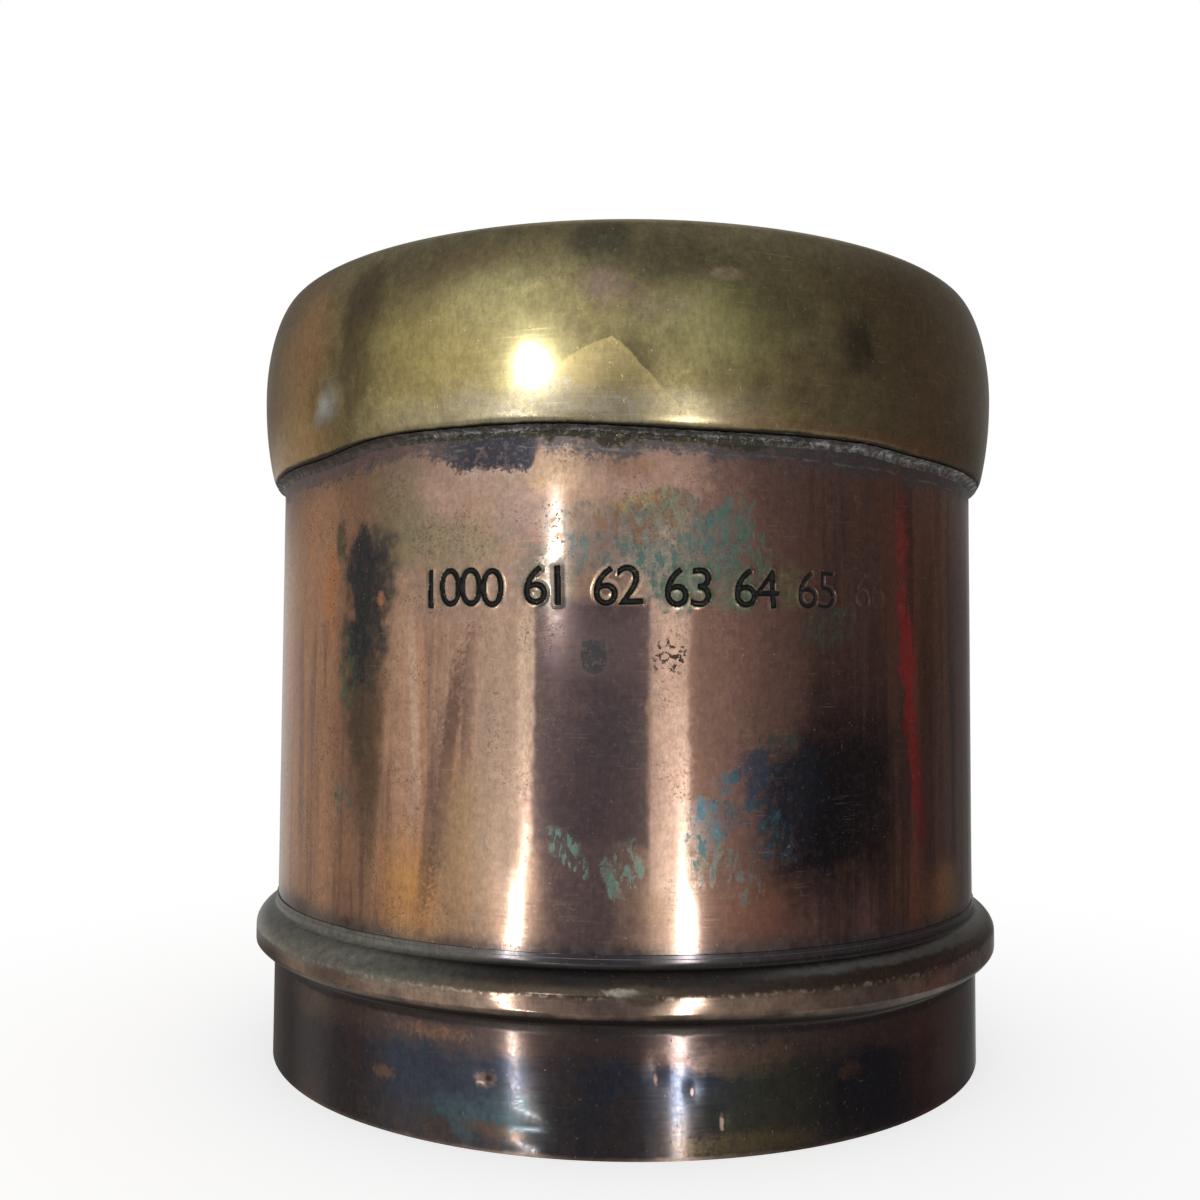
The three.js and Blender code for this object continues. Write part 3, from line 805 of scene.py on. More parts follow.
@dataclass(frozen=True)
class WallCopper(MetalFinish):
    """The wall: pink-brown copper with orange, olive and dark stains, verdigris, and dark stamps."""

    orange: Color = (0.6, 0.3, 0.15)
    plum: Color = (0.38, 0.24, 0.2)
    maroon: Color = (0.24, 0.135, 0.115)
    oxide: Color = (0.12, 0.115, 0.125)

    def dress(self, coat: Coat) -> Feed | None:
        """Lays the wall's tarnish from the broad tints to the small dashes of verdigris.

        Args:
            coat: What the finish is laid on.

        Returns:
            More height in millimetres, or None.
        """
        bench = coat.bench
        coat.color = bench.mix(coat.clouds(24, 0.42, 1.1), self.plum, self.base)
        coat.lay(coat.side(-18, -62, 0.75), self.orange)
        right = bench.step(bench.scaled(coat.ragged, 1.2, coat.around), 7.9, 9)
        coat.lay((right, coat.side(5, 7, 0.6)), (0.36, 0.2, 0.165))
        coat.lay(coat.side(10, 20, 0.7), self.maroon)
        self._streaks(coat)
        coat.stains(WALL_TINTS_AND_PAINTED_REFLECTIONS)
        coat.stains(VERDIGRIS_AND_PAINTED_HIGHLIGHT)
        self._edges(coat)
        self._inside(coat)
        self._marks(coat)
        where = bench.step(bench.noise(coat.place, 0.14), 0.46, 0.6)
        coat.lay((coat.specks(0.34, 0.34)["Mask"], where, 0.55), (0.1, 0.07, 0.065), 0.42, 0.85)
        coat.lay((coat.specks(0.42, 0.12)["Mask"], 0.5), (0.66, 0.52, 0.42))
        return bench.times(coat.specks(0.5, 0.08)["Mask"], -0.02)

    def _streaks(self, coat: Coat) -> None:
        """Upright runs of darker and redder tarnish below the numbers, on both sides.

        Args:
            coat: What the finish is laid on.
        """
        bench = coat.bench
        place = bench.stretched(coat.unrolled, (1, 0.05, 1), 0.07)
        lower = bench.less(1, coat.band(67, 200, 5, 5))
        left = bench.times(coat.side(-12.5, -15, back=110), lower)
        right = coat.side(22, 27, back=110)
        dark = bench.step(bench.noise(place, 0.34, 4, 0.2, 0.6), 0.48, 0.6)
        coat.lay((dark, left, 0.6), (0.27, 0.165, 0.13))
        apart = {"Vector": place, "Vector_001": (31, 7, 0)}
        shifted = bench.put("ShaderNodeVectorMath", apart, operation="ADD").outputs[0]
        red = bench.step(bench.noise(shifted, 0.42, 4, 0.3, 0.6), 0.5, 0.58)
        coat.lay((red, left, 0.5), (0.62, 0.33, 0.2))
        coat.lay((red, right, 0.6), (0.4, 0.19, 0.11))
        coat.lay((dark, right, 0.6), (0.1, 0.06, 0.052))

    def _edges(self, coat: Coat) -> None:
        """The oxide under the mouth band, the crust beside the solder, and the wall darkened above the bead
        with tarnish and painted shade.

        Args:
            coat: What the finish is laid on.
        """
        bench = coat.bench
        up = coat.level(MOUTH_RISES)
        frayed = bench.scaled(coat.frayed, 1.3, coat.ragged)
        sided = bench.scaled(coat.frayed, 2, coat.around)
        spot = bench.window(sided, -27.5, -20, -11, -12.6)
        level = bench.scaled(spot, 2.2, bench.scaled(frayed, 3, up))
        coat.lay((bench.step(level, 82.5, 88), 0.4), (0.22, 0.16, 0.15), 0.3)
        top = bench.step(level, 86.8, 88)
        coat.lay((top, bench.scaled(coat.flecks, -0.35, 0.88)), self.oxide, 0.34, 0.88)
        ink = bench.step(level, 86.6, 87.9)
        coat.lay((ink, spot, bench.scaled(coat.flecks, -0.3, 0.85)), (0.045, 0.048, 0.072), 0.26, 0.88)
        pale = bench.window(level, 85.6, 86.6, 87.2, 86.8)
        coat.lay((pale, spot, 0.5), (0.62, 0.46, 0.4), 0.3)
        broken = bench.step(bench.noise(coat.unrolled, 0.35, 3), 0.42, 0.58)
        coat.lay((coat.band(87.7, 87.95, 0.15, 0.8, up), broken, 0.45), (0.4, 0.39, 0.37), 0.3)
        violet = coat.band(87.6, 96, 0.5, 0.9, up)
        coat.lay((violet, coat.side(-24, -34), 0.8), (0.24, 0.16, 0.15), 0.34)
        middle = (bench.step(coat.around, -18, -8), bench.step(coat.around, 34, 16))
        crust = bench.times(coat.band(89, 96, 0.3, 3.4, up), *middle)
        coat.lay((crust, 0.95), (0.05, 0.042, 0.028), 0.5, 0.6)
        coat.lay((crust, coat.specks(0.8, 0.34)["Mask"]), (0.2, 0.17, 0.08), 0.55, 0.4)
        # Darker towards the bottom, and dark just above the foot band: tarnish, with painted shade where the
        # wall meets the band
        shade = bench.step(bench.scaled(coat.ragged, 3, coat.up), 33, 26)
        coat.lay((shade, 0.2), (0.14, 0.1, 0.095))
        low = bench.scaled(coat.side(-22, -52), -0.9, coat.up)
        foot = bench.step(bench.scaled(frayed, 1.2, low), 27.5, 24.9)
        cold = bench.mix(bench.step(coat.ragged, -0.1, 0.12), (0.075, 0.065, 0.07), (0.12, 0.125, 0.12))
        coat.lay((foot, 0.8), cold, 0.16, 0.92)

    def _inside(self, coat: Coat) -> None:
        """A duller, greyer face inside, with tide lines of old liquids.

        Args:
            coat: What the finish is laid on.
        """
        bench = coat.bench
        inside = bench.step(coat.out, WALL_RADIUS - 0.3, WALL_RADIUS - 0.9)
        clouds = bench.step(bench.noise(coat.place, 0.05, 4, 0.8), 0.36, 0.62)
        dull = bench.mix(clouds, (0.6, 0.46, 0.37), (0.4, 0.31, 0.26))
        coat.lay(inside, dull, 0.46, 0.72)
        for height, share in ((96, 0.5), (71, 0.35), (44, 0.4)):
            coat.lay((coat.band(height - 0.9, height, 0.5, 2), inside, share), (0.22, 0.17, 0.14), 0.5)

    def _marks(self, coat: Coat) -> None:
        """The dark fill of the punched numbers, the plain blot and the patch of punch pits below them.

        Args:
            coat: What the finish is laid on.
        """
        bench = coat.bench
        punched = bench.put("ShaderNodeAttribute", attribute_name="punched").outputs["Fac"]
        near = coat.patch(Stain(-4, 71.4, 28, 3.6, SOOT, soft=0.1, ragged=1.2, square=0.97, flecked=0.3))
        halo = bench.times(bench.step(punched, 0.012, 0.05), near)
        coat.lay((halo, 0.35), (0.25, 0.28, 0.13), 0.4, 0.8)
        coat.lay(bench.step(punched, 0.12, 0.5), (0.014, 0.014, 0.015), 0.5, 0.5)
        coat.stains([(-3.9, 62.4, 1.9, 2.6, (0.045, 0.05, 0.055), 0.45, 0.75, 0.15, 0.8, 0.3, 0.35, 0.85)])
        pitted = coat.patch(Stain(5.8, 62.4, 2.5, 2.4, SOOT, 0.5, 0.7, 0.3, 0.9))
        coat.lay((pitted, coat.specks(0.6, 0.42)["Mask"]), (0.085, 0.05, 0.035), 0.5, 0.75)


@dataclass(frozen=True)
class MouthBrass(MetalFinish):
    """The mouth band: olive-yellow tarnished brass, browner to the right, rubbed grey low down."""

    def dress(self, coat: Coat) -> Feed | None:
        """Lays the band's blotches, its painted tent-shaped reflection, and its worn edges.

        Args:
            coat: What the finish is laid on.

        Returns:
            More height in millimetres, or None.
        """
        bench = coat.bench
        coat.color = bench.mix(coat.clouds(22, 0.5, 1.25), (0.25, 0.19, 0.095), self.base)
        coat.lay((coat.clouds(6, 0.55, 1), 0.4), (0.28, 0.28, 0.15))
        grain = bench.step(bench.noise(coat.place, 2.6, 3, 0.3), 0.42, 0.64)
        coat.lay((grain, 0.24), (0.15, 0.14, 0.075), 0.34)
        coat.lay(coat.side(-38, -52, 0.75), (0.52, 0.31, 0.13))
        coat.lay(coat.side(14, 38, 0.75), (0.2, 0.15, 0.095), 0.26)
        coat.lay((coat.band(111.5, 130, 2.4, 12), 0.5), (0.18, 0.155, 0.09), 0.32, 0.92)
        coat.stains(BLOTCHES_AND_PAINTED_GLINTS)
        self._painted_tent_reflection(coat)
        self._edges(coat)
        dots = coat.specks(0.7, 0.1)
        coat.lay((dots["Mask"], 0.55), (0.5, 0.38, 0.26), 0.4)
        return bench.times(dots["Mask"], -0.01)

    def _edges(self, coat: Coat) -> None:
        """The rubbed grey band over the lower edge, the dark edge itself, and the bright crown.

        Args:
            coat: What the finish is laid on.
        """
        bench = coat.bench
        up = coat.level(MOUTH_RISES)
        front = bench.window(coat.around, -44, -18, 22, 8)
        coat.lay((coat.band(90, 94.6, 1.8, 5, up), front, 0.5), (0.5, 0.45, 0.34), 0.28, 0.95)
        grey = bench.step(bench.noise(coat.place, 1.6, 4, 0.5), 0.44, 0.58)
        middle = bench.window(coat.around, -24, -12, 8, 0)
        coat.lay((grey, coat.band(90, 96, 1.6, 4, up), middle, 0.5), (0.3, 0.28, 0.26), 0.36)
        red = coat.band(90.4, 92.6, 0.7, 1.6, up)
        coat.lay((red, coat.side(6, 14), 0.3), (0.4, 0.2, 0.12), 0.3)
        coat.lay((coat.band(84, 91.05, 0.2, 0.35, up), 0.92), (0.028, 0.026, 0.025), 0.5, 0.8)
        coat.lay((coat.band(118.2, 130, 0.35, 0.4), 0.7), (0.55, 0.47, 0.25), 0.25, 0.97)

    def _painted_tent_reflection(self, coat: Coat) -> None:
        """A painted reflection: a pale patch that peaks over the lower edge and runs down to the right, with
        a crisp edge.

        Args:
            coat: What the finish is laid on.
        """
        bench = coat.bench
        away = bench.less(coat.around, -1.6)
        right = bench.math(Op.MAXIMUM, away, 0)
        left = bench.math(Op.MAXIMUM, bench.times(away, -1), 0)
        fall = bench.scaled(right, 0.98, bench.times(left, 0.42))
        line = bench.scaled(coat.ragged, 1.4, bench.less(102.3, fall))
        over = bench.less(line, coat.up)
        near = bench.times(bench.step(over, -0.2, 0.2), bench.step(coat.around, -12, -2.5))
        coat.lay((near, bench.step(over, 9, 3), 0.7), (0.66, 0.53, 0.25), 0.26, 0.97)
        coat.lay((near, bench.step(over, 1.5, 0.3), 0.6), (0.66, 0.54, 0.22), 0.24, 0.97)


@dataclass(frozen=True)
class FootCopper(MetalFinish):
    """The foot band: near-black and blue-grey tarnish, rubbed to copper along the underside of its bead."""

    def dress(self, coat: Coat) -> Feed | None:
        """Lays the skirt's blue-black, the brown below the groove, the groove and the bead.

        Args:
            coat: What the finish is laid on.

        Returns:
            More height in millimetres, or None.
        """
        bench = coat.bench
        up = coat.level(FOOT_RISES)
        coat.color = bench.mix(coat.clouds(13, 0.45, 1.2), self.base, (0.105, 0.075, 0.065))
        streaks = bench.noise(bench.stretched(coat.unrolled, (1, 0.1, 1)), 0.5, 3, 0.1)
        coat.lay((bench.step(streaks, 0.44, 0.62), 0.35), (0.05, 0.06, 0.075))
        coat.stains(SKIRT)
        coat.lay((coat.band(11.2, 15.4, 1.6, 3.4, up), 0.55), (0.16, 0.105, 0.085))
        coat.lay((coat.band(14.4, 16, 0.35, 0.5, up), 0.9), (0.03, 0.028, 0.028), 0.4, 0.88)
        self._bead(coat, up)
        grit = coat.specks(0.5, 0.12)
        coat.lay((grit["Mask"], 0.5), (0.3, 0.21, 0.17), 0.4)
        within = bench.step(coat.out, WALL_RADIUS - 0.2, WALL_RADIUS - 0.5)
        coat.lay(within, (0.16, 0.13, 0.115), 0.5, 0.88)
        coat.lay((coat.band(-5, 0.35, 0.25, 0.5), 0.5), (0.26, 0.19, 0.15), 0.36)
        return bench.times(grit["Mask"], -0.02)

    def _bead(self, coat: Coat, up: Feed) -> None:
        """The bead: dark below, rubbed to copper along its worn crest, brown above it, black on top.

        Args:
            coat: What the finish is laid on.
            up: The height as if the edges ran level.
        """
        bench = coat.bench
        coat.lay((coat.band(14.8, 18, 0.8, 1, up), 0.85), (0.055, 0.045, 0.042), 0.22, 0.92)
        coat.lay((coat.band(20.2, 32, 0.8, 1, up), 0.9), (0.105, 0.078, 0.058), 0.2, 0.94)
        coat.lay((coat.band(22, 32, 0.6, 1.4, up), 0.9), (0.05, 0.048, 0.046), 0.24, 0.9)
        coat.lay((bench.step(coat.up, 23.8, 24.2), 0.9), (0.11, 0.1, 0.11), 0.15, 0.94)
        wear = bench.scaled(bench.step(bench.noise(coat.unrolled, 0.16, 4, 0.3), 0.36, 0.6), 0.4, 0.45)
        patchy = bench.times(wear, bench.scaled(bench.noise(coat.unrolled, 0.5, 5, 0.2), 1, 0.45))
        coat.lay((coat.band(17.7, 20.4, 0.7, 1.2, up), patchy), (0.42, 0.3, 0.225), 0.13, 0.96)
        broken = bench.step(bench.noise(coat.unrolled, 1.3, 3), 0.48, 0.6)
        coat.lay((coat.band(20.3, 20.8, 0.25, 0.8, up), broken, 0.55), (0.62, 0.5, 0.4), 0.2)
        left = coat.side(-12, -40, back=120)
        # Grey-green on the upper face of the bead at the left: dust, with a painted sheen
        dust_and_sheen = bench.scaled(bench.noise(coat.place, 0.8, 6, 0.2, 0.7), 1.4, 0)
        coat.lay((coat.band(20.2, 25.6, 1, 1.4, up), left, dust_and_sheen), (0.32, 0.33, 0.28), 0.38, 0.8)
        line = coat.band(22.3, 23.2, 0.3, 0.9, up)
        coat.lay((line, coat.side(12, 24), 0.7), (0.2, 0.19, 0.17), 0.36)
        # The pale mark by the bead's dent is a painted highlight; the dark one lies over the dent
        coat.stains([
            (0.2, 21.2, 2, 0.45, (0.5, 0.45, 0.38), 0.24, 0.97, 0.5, 0.7, 0, 0, 0.85, 0, -0.9),
            (2, 20.4, 2.2, 0.9, (0.05, 0.04, 0.035), 0.34, 0.9, 0.5, 0.6, 0, 0, 0.8),
        ])


@dataclass(frozen=True)
class BottomCopper(MetalFinish):
    """The bottom plate: dull copper with cloudy tarnish and rings of residue."""

    def dress(self, coat: Coat) -> Feed | None:
        """Lays cloudy tarnish, and rings from drained liquids.

        Args:
            coat: What the finish is laid on.

        Returns:
            More height in millimetres, or None.
        """
        bench = coat.bench
        clouds = coat.clouds(22, 0.4, 1.1)
        coat.color = bench.mix(clouds, self.base, (0.34, 0.27, 0.22))
        wavy = bench.scaled(coat.ragged, 5, coat.out)
        for radius, width, share in ((49, 2.2, 0.5), (33, 0.8, 0.4), (18, 1.2, 0.3)):
            rise = bench.step(wavy, radius - width, radius)
            fall = bench.step(wavy, radius, radius + width * 0.4, 1, 0)
            coat.lay((rise, fall, share), (0.2, 0.17, 0.14), 0.5)
        coat.lay((coat.specks(2.4, 0.12)["Mask"], 0.5), (0.14, 0.2, 0.16), 0.55, 0.5)
        return bench.times(clouds, 0.03)


@dataclass(frozen=True)
class GreySolder(MetalFinish):
    """Tin-lead solder: silver where it is rubbed, dull grey elsewhere."""

    dark: Color = (0.16, 0.165, 0.17)
    pitted: float = 0.2

    def dress(self, coat: Coat) -> Feed | None:
        """Lays bright and dull metal, with small pits.

        Args:
            coat: What the finish is laid on.

        Returns:
            More height in millimetres, or None.
        """
        bench = coat.bench
        coat.color = bench.mix(coat.clouds(3, 0.45, 1.4), self.dark, self.base)
        pits = coat.specks(0.9, self.pitted)
        coat.lay(pits["Mask"], (0.04, 0.038, 0.035), 0.55, 0.6)
        return bench.times(pits["Soft"], 0.15)


@dataclass(frozen=True)
class CrustedSolder(GreySolder):
    """The solder under the mouth band: a bright ragged line on top, crusted with residue below."""

    def dress(self, coat: Coat) -> Feed | None:
        """Lays the crust over the plain solder, thinning out to the left and the right.

        Args:
            coat: What the finish is laid on.

        Returns:
            More height in millimetres, or None.
        """
        bench = coat.bench
        height = GreySolder.dress(self, coat)
        up = coat.level(MOUTH_RISES)
        low = bench.step(bench.scaled(coat.frayed, 1.6, up), 90, 89.65)
        crust = bench.times(low, bench.window(coat.around, -36, -24, 34, 14))
        coat.lay((crust, 0.95), (0.045, 0.04, 0.024), 0.6, 0.4)
        grains = coat.specks(0.7, 0.4)
        coat.lay((crust, grains["Mask"]), (0.17, 0.16, 0.085), 0.6, 0.3)
        coat.lay((crust, coat.specks(0.45, 0.2)["Mask"]), (0.5, 0.5, 0.44), 0.5, 0.5)
        coat.lay((coat.side(-24, -36), 0.88), (0.1, 0.07, 0.065), 0.36, 0.85)
        gaps = bench.step(bench.noise(coat.unrolled, 0.9, 3, 0.4), 0.42, 0.56)
        coat.lay((gaps, 0.85), (0.07, 0.06, 0.045), 0.5, 0.7)
        return bench.scaled(bench.times(grains["Soft"], crust), 0.4, height)


@dataclass(frozen=True)
class WipedSolder(GreySolder):
    """The solder wiped over the foot band's edge, as dark as the wall round it, whose tarnish is deepened
    with painted shade.
    """

    def dress(self, coat: Coat) -> Feed | None:
        """Lays cold grey and black, with a touch of green.

        Args:
            coat: What the finish is laid on.

        Returns:
            More height in millimetres, or None.
        """
        coat.color = coat.bench.mix(coat.clouds(7, 0.5, 1.2), self.dark, self.base)
        coat.lay((coat.side(-14, -42), 0.6), (0.2, 0.19, 0.15), 0.4)
        return None


@dataclass(frozen=True)
class SeamSpelter(MetalFinish):
    """The brazed seam: dull yellow spelter, darker where flux has eaten it."""

    def dress(self, coat: Coat) -> Feed | None:
        """Lays uneven yellow and brown, with small pits.

        Args:
            coat: What the finish is laid on.

        Returns:
            More height in millimetres, or None.
        """
        bench = coat.bench
        coat.color = bench.mix(coat.clouds(4, 0.5, 1.3), (0.24, 0.17, 0.09), self.base)
        pits = coat.specks(0.8, 0.3)
        coat.lay((pits["Mask"], 0.7), (0.08, 0.06, 0.045), 0.55)
        return bench.times(pits["Mask"], -0.06)


# Shaping the metal


def bearing(point: Vector) -> float:
    """Degrees round from the front."""
    return math.degrees(math.atan2(point.x, -point.y))


def reach(point: Vector) -> float:
    """How far a point is from the axis."""
    return math.hypot(point.x, point.y)


def moved(point: Vector, radius: float) -> Vector:
    """A point moved in or out to a radius."""
    share = radius / reach(point)
    return Vector((point.x * share, point.y * share, point.z))


@dataclass
class Profile:
    """The section of a bent sheet, drawn leg by leg along its face. Its back lies to the left."""

    face: list[Vector] = field(default_factory=list)
    left: list[Vector] = field(default_factory=list)
    thick: list[float] = field(default_factory=list)

    def leg(self, points: Sequence[Vector], thickness: Span) -> None:
        """Adds a run of points, the sheet going from one thickness to another along it.

        Args:
            points: Places along the leg.
            thickness: The sheet's, at both ends.
        """
        last = len(points) - 1
        for i, place in enumerate(points):
            if self.face and (place - self.face[-1]).length < SAME_PLACE:
                continue
            ahead = points[min(i + 1, last)] - points[max(i - 1, 0)]
            ahead.normalize()
            self.face.append(place)
            self.left.append(Vector((-ahead.y, ahead.x)))
            self.thick.append(thickness[0] + (thickness[1] - thickness[0]) * i / last)

    def line(self, start: Vector, end: Vector, step: float, thickness: Span) -> None:
        """Adds a straight leg."""
        count = max(1, round((end - start).length / step))
        self.leg([start.lerp(end, i / count) for i in range(count + 1)], thickness)

    def arc(self, centre: Vector, radius: float, turn: Span, step: float, thickness: Span) -> None:
        """Adds a round leg, from one angle to another in radians.

        Args:
            centre: The arc's centre.
            radius: Its radius.
            turn: Its first and last angle.
            step: The longest step along it.
            thickness: The sheet's, at both ends.
        """
        count = max(2, round(abs(turn[1] - turn[0]) * radius / step))
        angles = [turn[0] + (turn[1] - turn[0]) * i / count for i in range(count + 1)]
        self.leg([centre + radius * Vector((math.cos(a), math.sin(a))) for a in angles], thickness)

    def bezier(self, ends: Sequence[Vector], count: int, thickness: Span) -> None:
        """Adds a cubic leg from its two ends and their handles."""
        self.leg(interpolate_bezier(*ends, count + 1), thickness)

    def outline(self, skip: int) -> list[Vector]:
        """The closed outline: every point of the face, and every skip-th point of the back.

        Args:
            skip: How many points of the back make one.

        Returns:
            The outline.
        """
        last = len(self.face) - 1
        kept = [i for i in range(last + 1) if i % skip == 0 or i == last]
        return [*self.face, *(self.face[i] + self.left[i] * self.thick[i] for i in reversed(kept))]


@dataclass(frozen=True)
class Dent:
    """A shallow knock in the metal: its place, its radii round and up, and its depth."""

    around: float
    up: float
    width: float
    height: float
    depth: float


@dataclass(frozen=True)
class HandWork:
    """The unevenness of hand-rolled metal: slow waves, knocks, and edges that run higher for a stretch."""

    wave: float
    length: float
    dents: tuple[Dent, ...] = ()
    rises: tuple[Rise, ...] = ()

    def __call__(self, point: Vector) -> Vector:
        """Moves a point in or out along its radius, and up where an edge rises.

        Args:
            point: A point in millimetres.

        Returns:
            Where it goes.
        """
        radius, around = reach(point), bearing(point)
        out = self.wave * noise.noise(point / self.length)
        out += 0.35 * self.wave * noise.noise(point / (0.4 * self.length))
        for dent in self.dents:
            across = (around - dent.around) / dent.width
            along = (point.z - dent.up) / dent.height
            out -= dent.depth * math.exp(-(across * across + along * along))
        share = (radius + out) / radius if radius > 1.0 else 1.0
        lift = sum(rise.at(around, point.z) for rise in self.rises)
        return Vector((point.x * share, point.y * share, point.z + lift))


def spin(mesh: Mesh, geom: list, angle: float, steps: int) -> dict:
    """Turns points and edges about Z, joined up where the turn is whole."""
    whole = {"use_merge": True} if angle == math.tau else {}
    return bmesh.ops.spin(mesh, geom=geom, cent=(0, 0, 0), axis=(0, 0, 1), angle=angle, steps=steps, **whole)


def turned(section: Sequence[Vector], span: Span | None, steps: int) -> Mesh:
    """Turns a closed section about the axis.

    Args:
        section: The section's points as radius and height.
        span: Where it starts and ends round from the front, or None for the whole turn.
        steps: How many steps it takes.

    Returns:
        A closed mesh in millimetres, its ends capped.
    """
    mesh = bmesh.new()
    start, end = span or WHOLE_TURN
    # The front is -Y, so an angle round from it is turned from -Y towards +X.
    turn = Matrix.Rotation(math.radians(start), 4, "Z")
    verts = [mesh.verts.new(turn @ Vector((0.0, -p.x, p.y))) for p in section]
    edges = [mesh.edges.new((verts[i - 1], verts[i])) for i in range(len(verts))]
    if span:
        cap = mesh.faces.new(verts)
        spun = spin(mesh, [*verts, *edges], math.radians(end - start), steps)
        rim = [g for g in spun["geom_last"] if isinstance(g, bmesh.types.BMEdge)]
        bmesh.ops.contextual_create(mesh, geom=rim)
        cap.normal_update()
    else:
        spin(mesh, [*verts, *edges], math.tau, steps)
    bmesh.ops.recalc_face_normals(mesh, faces=mesh.faces)
    return mesh


def shaped(mesh: Mesh, shape: Shaper) -> Mesh:
    """Moves every point of a mesh.

    Args:
        mesh: The mesh.
        shape: Says where a point goes.

    Returns:
        The same mesh.
    """
    for vert in mesh.verts:
        vert.co = shape(vert.co)
    return mesh


def placed(name: str, data: bpy.types.ID) -> Piece:
    """Puts a new object in the scene.

    Args:
        name: The object's name.
        data: Its mesh, curve, light or camera.

    Returns:
        The object.
    """
    item = bpy.data.objects.new(name, data)
    bpy.context.scene.collection.objects.link(item)
    return item


def finished(mesh: Mesh, name: str, material: Material, nodes: Sequence[str]) -> Piece:
    """Makes a shaped mesh a piece of the cup.

    Args:
        mesh: The mesh in millimetres, which is freed.
        name: The piece's name.
        material: Its finish.
        nodes: The CAD nodes that it stands for.

    Returns:
        The piece, riding on the cup's body.
    """
    mesh.normal_update()
    for edge in mesh.edges:
        edge.smooth = len(edge.link_faces) != 2 or edge.calc_face_angle(0.0) < SHARP_EDGE
    for face in mesh.faces:
        face.smooth = True
    bmesh.ops.scale(mesh, vec=(METRE, METRE, METRE), verts=mesh.verts)
    data = bpy.data.meshes.new(name)
    mesh.to_mesh(data)
    mesh.free()
    data.materials.append(material)
    piece = placed(name, data)
    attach(piece, BODY)
    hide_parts(*nodes)
    return piece


def jointed(outline: Sequence[Vector], seam_at: float, seam: float, steps: int,
            work: Shaper) -> tuple[Mesh, Mesh]:
    """Turns a band that is open at its seam, and the strip of metal that fills the seam.

    Args:
        outline: The band's section.
        seam_at: Where its seam is.
        seam: The seam's width in millimetres.
        steps: How many steps the band takes.
        work: The band's unevenness.

    Returns:
        The band and the strip.
    """
    half = math.degrees(0.5 * seam / WALL_RADIUS)
    band = turned(outline, (seam_at - 360.0 + half, seam_at - half), steps)
    strip = turned(outline, (seam_at - half - SEAM_LAP, seam_at + half + SEAM_LAP), 6)
    return shaped(band, work), shaped(strip, work)


